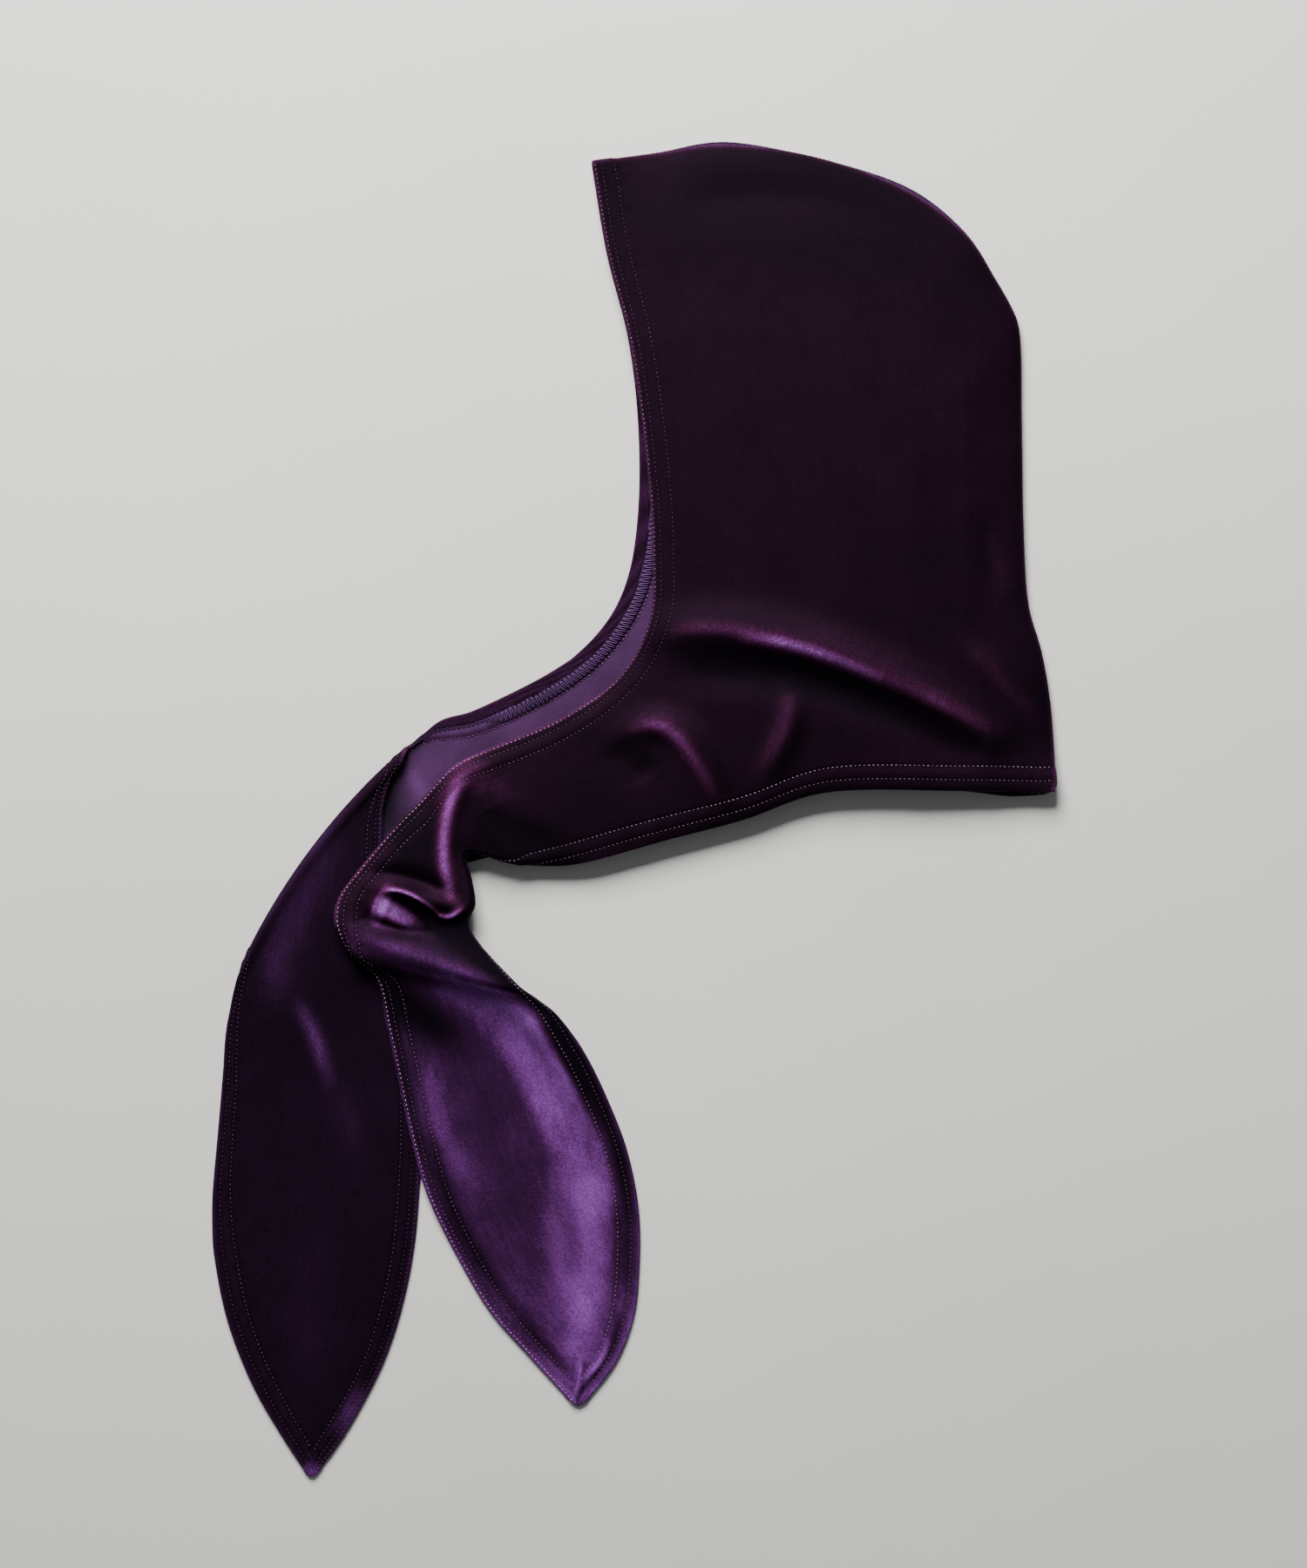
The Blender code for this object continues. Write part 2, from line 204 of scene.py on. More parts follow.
# Plan outlines of the hood, x and y
SEAM = ((-24, 370), (12, 375.5), (50, 380), (104, 373), (157, 353), (190, 328), (205.5, 304.5),
        (216, 286), (219.5, 276), (221, 224), (222, 164), (225, 117), (232.5, 90), (237.5, 60),
        (240.5, 10))
RIGHT_FACE = ((-64.5, 41.5), (-39.5, 52.5), (-7, 77.5), (8.5, 108), (10.5, 146), (6.5, 204),
              (-3, 269.5), (-15.5, 319.5), (-24, 370))
RIGHT_NECK = ((-28.5, -30), (14.5, -18), (62, -5.5), (106, 9.5), (186, 11), (240.5, 10))
LEFT_FACE = ((-77, 62.5), (-40.5, 82), (-15.5, 107), (-3.5, 132), (2.6, 170), (2.6, 222),
             (-3, 269.5), (-15.5, 319.5), (-24, 370))
LEFT_NECK = ((-46, -17), (0, -12), (60, -2), (106, 10.5), (186, 11.5), (216, 8.5), (240.5, 10))
FACE_HEIGHTS = (9.0, 10.0, 11.5, 12.5, 12.5, 11.5, 9.0, SEAM_TOP)
NECK_HEIGHTS = (12.0, 12.5, 12.0, 12.5, 14.0, 14.5, 12.0, SEAM_TOP)

# Where the lower half shows past the seam: place and half width along x, and its shift
SEAM_PEEKS = ((50, 28, 0.0, 2.2), (158, 30, 1.6, 1.8))
PEEK_START = 0.9

# Rounding of the back corner
CORNER_ROUND = 3.2
CORNER_SHIFT = (-1.8, 1.6)

# Strokes in plan: start, middle and end, half width, the height, or the painted sheen and
# painted shade, that they add, and the power of their bell, which is 2 where it is left out
STROKE_PARTS = 32
STROKE_END = 0.03
STROKE_COLUMNS = ("x1", "y1", "x2", "y2", "x3", "y3", "width", "amount", "power")
SIDE_FOLDS = (
    (12, 101, 100, 94, 203, 42, 11, 7.0),
    (30, 78, 110, 70, 186, 34, 11, -3.5),
    (-4, 46, 26, 44, 50, 8, 8, 5.0),
    (-34, 36, -10, 32, 10, 18, 8, -3.0),
    (87, 66, 86, 44, 73, 20, 8, 3.5),
    (190, 91, 210, 78, 230, 56, 8, 2.5),
    (201, 166, 205, 144, 209, 124, 9, -2.0),
    (40, 350, 90, 354, 140, 344, 12, -1.5),
)
STRAP_FOLDS = (
    (-84, 30, -108, -4, -108, -50, 7, 5.0),
    (-144, -46, -124, -48, -100, -58, 5, 3.0),
)
TIE_FOLDS = (
    (-104, -93, -74, -107, -52, -128, 7, 3.5),
    (-62, -119, -45, -142, -30, -174, 7, 3.6),
    (-31, -168, -19, -196, -12, -230, 6, 2.2),
    (-36, -340, -32, -328, -31, -316, 2.2, 1.6),
    (-30, -328, -21, -318, -16, -308, 2.2, 1.4),
)
CRUMPLES = (
    (-150, -36, -126, -40, -104, -50, 5, -4.0),
    (-142, -46.5, -128, -48.5, -111, -60.5, 2.4, 3.0),
    (-112, -60.5, -105, -61.5, -98, -56, 2.4, 2.6),
    (-152, -62, -137, -68.5, -119, -70, 3.2, -3.2),
    (-80, 2, -66, -14, -46, -24, 9, -2.5),
    (-128, 18, -118, -6, -122, -26, 7, -1.6),
)
# Painted sheen on the ridges and slopes of the right side, and painted shade in the valleys under
# them
SIDE_SHEEN_AND_SHADE = (
    (21, 100.5, 85.5, 94, 199.5, 46, 3.8, 0.30),
    (60, 97, 96, 91.5, 138, 75, 3.0, 0.46),
    (10, 107, 46, 110, 94, 104, 7, -0.09),
    (21, 101, 85.5, 95, 205, 48, 10, 0.09),
    (30, 80, 110, 68, 186, 40, 9, -0.15),
    (1, 46, 22, 42.5, 44, 10, 4, 0.49),
    (-28, 40, -6, 34, 14, 20, 7, -0.07),
    (89.5, 66, 82, 42, 71, 18, 6, 0.16),
    (-20, 330, 80, 345, 190, 310, 42, -0.065),
    (200, 260, 206, 180, 216, 100, 30, 0.065),
    (100, 26, 160, 24, 220, 22, 12, 0.055),
    (126, 81, 163, 67, 205, 45, 5, 0.13),
    (213, 285, 217, 210, 221, 130, 8, 0.05),
    (191, 89, 214, 68, 230, 52, 6, 0.16),
    (201, 166, 205, 144, 209, 124, 5, 0.05),
    (-94, 20, -80, 12, -62, 2, 10, 0.07),
    (-60, 20, -30, 16, 0, 18, 14, -0.05),
    (-88, -4, -66, -17, -40, -26, 9, -0.22),
    (30, 362, 90, 366, 160, 340, 14, -0.07),
)
# Painted highlights on the strap ridge, lip, patch, roll crest and tie, and painted shade under the
# roll and beside the hems
RIGHT_TIE_SHEEN_AND_SHADE = (
    (-101, 14, -108.5, -20, -103.5, -52, 3.4, 0.66),
    (-100, 22, -107, -12, -106, -52, 8.0, 0.14),
    (-104, 24, -92, 18, -84, 14, 9, 0.20),
    (-142, -46, -128, -48, -111, -60, 1.3, 0.80),
    (-112, -60, -105, -61, -98, -56, 1.6, 0.80),
    (-140.5, -46, -145, -55, -148, -63, 4.2, 0.48, 6),
    (-146, -54, -136, -59, -125, -65, 5.4, 0.74, 4),
    (-152, -69, -137, -73, -119, -73, 2.8, -0.12),
    (-149, -66, -144, -67, -138, -68, 2.2, 0.16),
    (-138, 4, -126, -14, -124, -36, 12, -0.20),
    (-128, -52, -116, -62, -96, -68, 5, -0.25),
    (-166, -72, -130, -83, -98, -98, 7, 0.27),
    (-110, -93, -78, -108, -52, -129, 6.4, 0.50),
    (-114, -101, -92, -106, -66, -116, 3.4, 0.16),
    (-62, -121, -47, -142, -29, -179, 4.0, 0.30),
    (-29, -176, -19, -200, -12, -230, 5.0, 0.26),
    (-140, -89, -100, -107, -62, -127, 6.5, 0.20),
    (-112, -66, -82, -86, -46, -116, 6.5, -0.34),
    (-52, -118, -36, -142, -18, -176, 6.5, -0.34, 3),
    (-20, -172, -9, -200, -5, -232, 5.0, -0.26),
    (-5, -230, -5.5, -250, -6, -274, 4.5, -0.14),
    (-150, -104, -126, -116, -104, -134, 10, -0.28),
    (-118, -104, -88, -118, -62, -138, 8, 0.14),
    (-80, -122, -52, -157, -28, -228, 13, 0.42, 4),
    (-142, -96, -136, -148, -120, -205, 6.5, -0.16),
    (-29, -205, -24, -243, -28, -285, 10, 0.36, 3),
    (-26, -275, -30, -295, -34, -316, 9, 0.32),
    (-118, -140, -112, -180, -94, -214, 7, 0.20),
    (-46, -218, -43, -256, -34, -292, 8, 0.24),
    (-92, -150, -80, -190, -66, -240, 7, -0.05),
    (-116, -190, -97, -245, -58, -298, 4.5, -0.20),
    (-64, -294, -52, -308, -39, -321, 4.5, -0.24),
    (-10, -290, -12, -304, -18, -316, 2.6, -0.24),
    (-36, -341, -32, -327, -32, -317, 1.7, 0.26),
    (-30.5, -327, -20, -317, -16, -308, 1.8, 0.30),
    (-32, -337, -10, -318, -2.5, -288, 1.2, 0.24),
    (-54, -315, -42, -328, -34, -341, 2.2, 0.18),
)
# Painted sheen streaks on the left tie
LEFT_TIE_SHEEN = (
    (-168, -10, -194, -58, -210, -102, 12, 0.17),
    (-200, -74, -205, -92, -206, -112, 8, 0.07),
    (-192, -112, -184, -130, -175, -156, 4.8, 0.35),
    (-173, -158, -165, -180, -160, -202, 9, 0.08),
    (-190, -240, -188, -290, -186, -332, 14, 0.06),
    (-157, -332, -164, -345, -172, -358, 4, 0.34),
    (-185, -373, -185.5, -379, -186, -383, 4, 0.40),
)

# Painted highlight and painted shade on the knitted back: its lighter and darker places
BACK_SHEEN_AND_SHADE = (
    (-130, 24, -126, 15, -119, 8, 6, 0.22),
    (-136, 46, -143, 14, -142, -24, 10, -0.46),
    (-132, 0, -128, -8, -124, -20, 9, -0.12),
    (-100, 62, -122, 44, -134, 28, 5, -0.26),
    (-118, 46, -84, 66, -50, 82, 5, -0.08),
)

# Place along y where the ties take on their more violet pile and painted sheen
BLOOM_START = {"left": 30.0, "right": -45.0}
BLOOM_RUN = 45.0

# Painted sheen of the pile along each ribbon, from the tie's tip to the seam; its low values give the
# pile's dark body tone
RIGHT_SHEEN_ALONG = (0.52, 0.31, 0.28, 0.24, 0.11, 0.08, 0.07, 0.08, 0.08, 0.075, 0.06)
LEFT_SHEEN_ALONG = (0.10, 0.08, 0.08, 0.08, 0.08, 0.08, 0.08, 0.08, 0.08, 0.08, 0.08)

# Painted sheen and shade that follow the slope of the cloth towards a fixed light
LIGHT_SIDE = (-0.30, 0.60, 0.74)
SLOPE_LIMITS = (-0.3, 0.4)
SLOPE_SHEEN = 0.35
UPWARD_GAIN = 1.5

# Sections of the ties from strap to tip: both edges in plan, how far the middle bows, heights,
# and the widths that turn under in an arc of the radius
TIE_COLUMNS = ("x1", "y1", "x2", "y2", "bow", "z1", "z_mid", "z2", "turn1", "turn2", "radius")
RIGHT_TIE = (
    (-64.5, 41.5, -28.5, -30, 0, 9.0, 14.0, 12.0, 0, 0, 4.5),
    (-84, 34, -51, -34, 0, 9.5, 15.0, 12.5, 0, 8, 4.5),
    (-104.5, 23.5, -75, -30, 0, 10.0, 16.0, 13.5, 0, 16, 4.5),
    (-122, 5, -91, -25, 0, 10.0, 17.0, 14.5, 0, 20, 4.5),
    (-140, -14, -96, -28, 0, 10.0, 18.0, 15.0, 0, 24, 4.5),
    (-156, -33, -93, -40, 0, 10.5, 19.0, 16.0, 0, 26, 4.5),
    (-168, -49, -91, -54, 0, 11.5, 19.0, 17.0, 0, 26, 4.5),
    (-170.5, -60, -94, -68, 0, 14.0, 16.0, 16.0, 0, 22, 4.8),
    (-168, -72, -68, -99, 0, 15.0, 24.0, 19.0, 5, 16, 5.2),
    (-161, -84, -56, -108, 0, 14.5, 19.0, 15.0, 10, 10, 4.5),
    (-148, -96, -44, -118, 0, 8.0, 13.0, 11.0, 2, 4, 3.0),
    (-141, -125, -28.5, -142, 0, 6.2, 7.0, 7.5, 0, 0, 3.0),
    (-135, -153, -16.5, -167, 0, 6.0, 5.0, 5.0, 0, 0, 3.0),
    (-127.5, -188, -5.5, -196, 0, 5.9, 4.4, 3.5, 0, 0, 3.0),
    (-118, -221, 1, -229, 0, 5.0, 4.2, 2.8, 0, 0, 3.0),
    (-103, -253, 1.5, -262, 0, 2.8, 4.2, 2.8, 0, 0, 3.0),
    (-82.5, -287.5, -2, -292, 0, 2.8, 3.6, 2.8, 0, 0, 3.0),
    (-60, -313, -12, -317, 0, 2.8, 3.0, 2.8, 0, 0, 3.0),
    (-34.5, -341, -30.5, -341, 0, 2.7, 2.7, 2.7, 0, 0, 3.0),
)
LEFT_TIE = (
    (-77, 62.5, -46, -17, 0, 0, 0, 0, 0, 0, 3.0),
    (-94, 55, -108, -33, 0, 0, 0, 0, 0, 0, 3.0),
    (-112, 49.5, -183, -60, 2, 0, 0, 0, 0, 0, 3.0),
    (-132, 35.5, -225.5, -88, 8, 3.7, 4.0, 3.7, 0, 0, 3.0),
    (-140.5, 17, -230, -111, 6, 6.4, 7.2, 5.8, 0, 0, 3.0),
    (-145, 2, -232.6, -123, 4, 5.9, 6.4, 5.2, 0, 0, 3.0),
    (-146, -14, -234, -134, 3, 5.6, 5.8, 4.6, 0, 0, 3.0),
    (-145, -32, -235, -149, 2, 5.5, 5.2, 3.8, 0, 0, 3.0),
    (-140, -58, -236.5, -165, 0, 5.4, 4.2, 2.8, 0, 0, 3.0),
    (-133, -90, -239, -193, 0, 3.0, 2.8, 2.6, 0, 0, 3.0),
    (-127, -127, -241.3, -220, 0, 2.5, 2.4, 2.6, 0, 0, 3.0),
    (-124, -170, -241.5, -240, 0, 2.5, 2.6, 2.6, 0, 0, 3.0),
    (-124.5, -215, -240.3, -257, 0, 2.5, 3.4, 2.6, 0, 0, 3.0),
    (-130, -265, -233, -293, 0, 2.6, 4.0, 2.6, 0, 0, 3.0),
    (-144, -314, -219, -329, 0, 2.6, 3.6, 2.6, 0, 0, 3.0),
    (-166, -356, -203, -357, 0, 2.6, 2.8, 2.6, 0, 0, 3.0),
    (-184, -381.5, -187, -381.5, 0, 2.6, 2.6, 2.6, 0, 0, 3.0),
)

# Colours of the cloth, from its darkest painted shade and dark body to full painted sheen
PILE_STOPS = (
    (0.00, (0.0030, 0.0015, 0.0034)),
    (0.14, (0.0105, 0.0028, 0.0090)),
    (0.32, (0.0360, 0.0068, 0.0290)),
    (0.52, (0.0920, 0.0200, 0.0920)),
    (0.74, (0.1650, 0.0440, 0.2100)),
    (1.00, (0.3600, 0.1500, 0.4900)),
)
TIE_STOPS = (
    (0.00, (0.0030, 0.0015, 0.0038)),
    (0.14, (0.0110, 0.0034, 0.0125)),
    (0.32, (0.0330, 0.0075, 0.0430)),
    (0.52, (0.0900, 0.0215, 0.1250)),
    (0.74, (0.1700, 0.0470, 0.2500)),
    (1.00, (0.2500, 0.0850, 0.3700)),
)
KNIT_STOPS = (
    (0.00, (0.0050, 0.0020, 0.0080)),
    (0.26, (0.0270, 0.0090, 0.0340)),
    (0.44, (0.0490, 0.0150, 0.0630)),
    (0.70, (0.0980, 0.0340, 0.1280)),
)

# Stage
FLOOR_SIZE = 5.0
FLOOR_DEEPER = 0.94
KEY_PLACE = (-0.38, 1.72, 1.28)
KEY_SIZE = 1.1
KEY_COLOUR = (1.0, 0.99, 0.97)
WORLD_COLOUR = (0.95, 0.97, 1.0, 1.0)


def smooth(t):
    """Smooth step from 0 to 1."""
    t = np.clip(t, 0.0, 1.0)
    return t * t * (3 - 2 * t)


def until(distance, end, length):
    """1 close by, with a smooth fall to 0 over a length that ends at a distance."""
    return smooth((end - distance) / length)


def blend(start, end, share):
    """The value at a share of the way from a start to an end."""
    return start + (end - start) * share


def bell(distance, width, power=2):
    """A bell: 1 in the middle and 1/e at its half width."""
    return np.exp(-(distance / width) ** power)


def mound(distance, size):
    """A bell with a height and a half width."""
    height, width = size
    return height * bell(distance, width)


def unit(vectors):
    """Vectors brought to a length of one."""
    return vectors / np.maximum(np.linalg.norm(vectors, axis=-1, keepdims=True), 1e-9)


def read_at(where, length, table):
    """Rows of a table that belong to lengths along a line, read at other lengths."""
    return np.stack([np.interp(where, length, column) for column in table.T], axis=-1)


def spline(points, steps=None):
    """Cubic curve through rows of numbers, its knots spaced by the root of the chord in plan."""
    p = np.asarray(points, float)
    chord = np.maximum(np.linalg.norm(np.diff(p[:, :2], axis=0), axis=1), 1.0)
    knots = np.concatenate([[0.0], np.cumsum(np.sqrt(chord))])
    slope = np.gradient(p, knots, axis=0, edge_order=1)
    lines = []
    for i in range(len(p) - 1):
        h = knots[i + 1] - knots[i]
        cells = CURVE_CELLS if steps is None else max(2, round(chord[i] / steps[i]))
        t = np.linspace(0.0, 1.0, cells, endpoint=False)[:, None]
        lines.append((1 + 2 * t) * (1 - t) ** 2 * p[i] + t * (1 - t) ** 2 * h * slope[i]
                     + t * t * (3 - 2 * t) * p[i + 1] + t * t * (t - 1) * h * slope[i + 1])
    return np.vstack(lines + [p[-1:]])


def by_length(curve, fraction):
    """Points of a sampled curve at fractions of its length in plan."""
    step = np.linalg.norm(np.diff(curve[:, :2], axis=0), axis=1)
    length = np.concatenate([[0.0], np.cumsum(step)])
    return read_at(np.asarray(fraction) * length[-1], length, curve)


def stroke(x, y, row):
    """A bell across a parabola through three points in plan, which fades at both ends."""
    f = dict(zip(STROKE_COLUMNS, row))
    t = np.linspace(0.0, 1.0, STROKE_PARTS + 1)
    weights = (1 - t) * (1 - 2 * t), 4 * t * (1 - t), t * (2 * t - 1)
    line_x = weights[0] * f["x1"] + weights[1] * f["x2"] + weights[2] * f["x3"]
    line_y = weights[0] * f["y1"] + weights[1] * f["y2"] + weights[2] * f["y3"]
    nearest = np.full(x.shape, np.inf)
    along = np.zeros(x.shape)
    for k in range(STROKE_PARTS):
        ax, ay = line_x[k], line_y[k]
        bx, by = line_x[k + 1] - ax, line_y[k + 1] - ay
        part = np.clip(((x - ax) * bx + (y - ay) * by) / (bx * bx + by * by), 0.0, 1.0)
        distance = np.hypot(x - ax - part * bx, y - ay - part * by)
        closer = distance < nearest
        nearest = np.where(closer, distance, nearest)
        along = np.where(closer, (k + part) / STROKE_PARTS, along)
    fade = np.sqrt(np.sin(math.pi * blend(STROKE_END, 1 - STROKE_END, along)))
    return f["amount"] * fade * bell(nearest, f["width"], f.get("power", 2))


def strokes(x, y, table):
    """Sum of a table's strokes."""
    return sum(stroke(x, y, row) for row in table)


def across(width, crowd=1.0):
    """Fractions across a ribbon: fine even cells in both hems and wider ones between them."""
    hem = np.minimum(HEM_BAND / width, HEM_BAND_SHARE)[:, None]
    edge = np.linspace(0.0, 1.0, HEM_CELLS + 1)[None, :-1]
    even = np.linspace(0.0, 1.0, MIDDLE_CELLS + 1)[None, :]
    middle = 1 - (1 - even) ** np.reshape(crowd, (-1, 1))
    return np.hstack([hem * edge, hem + (1 - 2 * hem) * middle, 1 - hem * edge[:, ::-1]])


def side_plan(face, neck):
    """Plan of a side: its four boundary curves blended, less the blend of its corners."""
    u = 1 - (1 - np.linspace(0.0, 1.0, SIDE_ROWS + 1)) ** SEAM_CROWD
    face_line = by_length(spline(face), u)
    neck_line = by_length(spline(neck), u)
    seam_line = spline(SEAM)
    seam_length = np.linalg.norm(np.diff(seam_line, axis=0), axis=1).sum()
    crowd = 1 + NECK_CROWD * smooth(u / NECK_CROWD_RUN)
    v = across(blend(math.dist(face[0], neck[0]), seam_length, u), crowd)
    seam = by_length(seam_line, v)
    uu = np.broadcast_to(u[:, None], v.shape)[..., None]
    vv = v[..., None]
    root = blend(np.array(face[0]), np.array(neck[0]), vv)
    corners = (1 - uu) * root + uu * blend(np.array(SEAM[0]), np.array(SEAM[-1]), vv)
    plan = (1 - vv) * face_line[:, None] + vv * neck_line[:, None] + (1 - uu) * root + uu * seam
    plan -= corners
    near = bell(np.linalg.norm(plan - SEAM[-1], axis=-1, keepdims=True), CORNER_ROUND)
    return plan + near * np.array(CORNER_SHIFT), uu[..., 0], v


def section_height(t, z1, z_mid, z2):
    """Height across a section: the end heights fade into the middle one by cubes."""
    left = (1 - t) ** 3
    right = t ** 3
    return z1 * left + z2 * right + z_mid * (1 - left - right)


def corner_lift(share):
    """Rise of the upper half at both ends of the seam, at shares of the seam's length."""
    front = mound(share * SEAM_LENGTH, FRONT_CORNER)
    return front + mound((1 - share) * SEAM_LENGTH, BACK_CORNER)


def right_side_grid():
    """Right side: edge heights blended, a low dome, the rise from the seam and the folds."""
    plan, u, v = side_plan(RIGHT_FACE, RIGHT_NECK)
    places = np.linspace(0.0, 1.0, len(FACE_HEIGHTS))
    edges = blend(np.interp(u, places, FACE_HEIGHTS), np.interp(u, places, NECK_HEIGHTS), v)
    start = dict(zip(TIE_COLUMNS, RIGHT_TIE[0]))
    root = section_height(v, start["z1"], start["z_mid"], start["z2"])
    z = edges + (1 - u) * (root - blend(start["z1"], start["z2"], v))
    from_seam = (1 - u) * SIDE_LENGTH
    rise = SEAM_RISE * (1 - np.exp(-from_seam / SEAM_RISE_WIDTH))
    z += rise * np.sqrt(4 * v * (1 - v)) * u
    along, over = DOME_POWERS
    z += DOME * (4 * u * (1 - u)) ** along * (4 * v * (1 - v)) ** over
    z += u ** CORNER_POWER * corner_lift(v)
    ease = np.clip(from_seam / FOLD_EASE, 0.0, 1.0)
    z += ease * strokes(plan[..., 0], plan[..., 1], SIDE_FOLDS + STRAP_FOLDS)
    return np.concatenate([plan, z[..., None]], axis=-1)


def left_side_grid():
    """Left side: flat on the floor, turned up along the seam."""
    plan, u, v = side_plan(LEFT_FACE, LEFT_NECK)
    at_seam = smooth((u - PEEK_START) / (1 - PEEK_START))
    for x, width, shift_x, shift_y in SEAM_PEEKS:
        near = at_seam * bell(plan[..., 0] - x, width)
        plan = plan + near[..., None] * np.array([shift_x, shift_y])
    turn = np.clip(1 - (1 - u) * SIDE_LENGTH / SEAM_TURN_WIDTH, 0.0, 1.0)
    return np.concatenate([plan, (SEAM_LIFT * turn ** 2)[..., None]], axis=-1)


def with_middles(table):
    """The table's rows with each section's middle put before them, which spaces the sections."""
    t = np.asarray(table, float)
    return np.hstack([0.5 * (t[:, 0:2] + t[:, 2:4]) + t[:, 6:7] * 0.5, t])


def with_round_fold(table, place):
    """The table with the row of a fold's outline opened into rows round half a circle."""
    t = np.asarray(table, float)
    nose = t[place]
    along = (nose[2:4] - nose[0:2]) / np.linalg.norm(nose[2:4] - nose[0:2])
    inwards = np.array([-along[1], along[0]])
    turned = []
    for angle in np.radians(np.linspace(-90.0, 90.0, FOLD_TURNS)):
        row = nose.copy()
        row[5:8] = nose[5:8] * (1 + math.sin(angle))
        shift = nose[5] * (1 - math.cos(angle))
        slide = shift * np.sign(angle)
        row[0:2] += inwards * shift + along * slide * FOLD_SLIDES[0]
        row[2:4] += inwards * shift + along * slide * FOLD_SLIDES[1]
        turned.append(row)
    return np.vstack([t[:place], turned, t[place + 1:]])


def tie_grid(table, fine=(0, 0)):
    """A tie: smooth sections between two edge curves, whose ends may turn under in an arc."""
    steps = np.full(len(table) - 1, TIE_STEP)
    steps[slice(*fine)] = CRUMPLE_STEP
    rows = spline(with_middles(table), steps)[:, 2:]
    c = {name: rows[:, k:k + 1] for k, name in enumerate(TIE_COLUMNS)}
    span = np.hypot(c["x2"] - c["x1"], c["y2"] - c["y1"])
    turns = [np.maximum(c["turn1"], 0.0), np.maximum(c["turn2"], 0.0)]
    inset = [c["radius"] * np.sin(np.minimum(turn / c["radius"], math.pi / 2)) for turn in turns]
    flat = span - inset[0] - inset[1]
    width = turns[0] + flat + turns[1]
    s = across(width[:, 0]) * width - turns[0]
    place = inset[0] + np.clip(s, 0.0, flat)
    drop = np.zeros_like(place)
    for over_edge, side in ((-s, -1.0), (s - flat, 1.0)):
        q = np.maximum(over_edge, 0.0)
        angle = np.minimum(q / c["radius"], math.pi)
        straight = np.maximum(q - math.pi * c["radius"], 0.0)
        place = place + side * (c["radius"] * np.sin(angle) - straight)
        drop = drop + c["radius"] * (1 - np.cos(angle))
    t = place / span
    bow = 4 * t * (1 - t) * c["bow"] / span
    x = blend(c["x1"], c["x2"], t) + bow * (c["y2"] - c["y1"])
    y = blend(c["y1"], c["y2"], t) - bow * (c["x2"] - c["x1"])
    z = section_height(np.clip(s / flat, 0.0, 1.0), c["z1"], c["z_mid"], c["z2"]) - drop
    return np.stack([x, y, np.maximum(z, 0.0)], axis=-1), bell(drop, TURNED_FADE)


def averaged(grid, first, last, rounds):
    """Rows from first to last blended with their neighbours along the ribbon."""
    for _ in range(rounds):
        mean = 0.25 * (grid[first - 1:last - 1] + 2 * grid[first:last] + grid[first + 1:last + 1])
        grid[first:last] = mean
    return grid


def normals(grid):
    """Unit normals of a grid: the cross product of its two gradients."""
    return unit(np.cross(np.gradient(grid, axis=1), np.gradient(grid, axis=0)))


def lengths(grid, axis):
    """Length along a grid's lines from their start."""
    step = np.linalg.norm(np.diff(grid, axis=axis), axis=-1)
    zero = np.zeros_like(np.take(step, [0], axis=axis))
    return np.concatenate([zero, np.cumsum(step, axis=axis)], axis=axis)


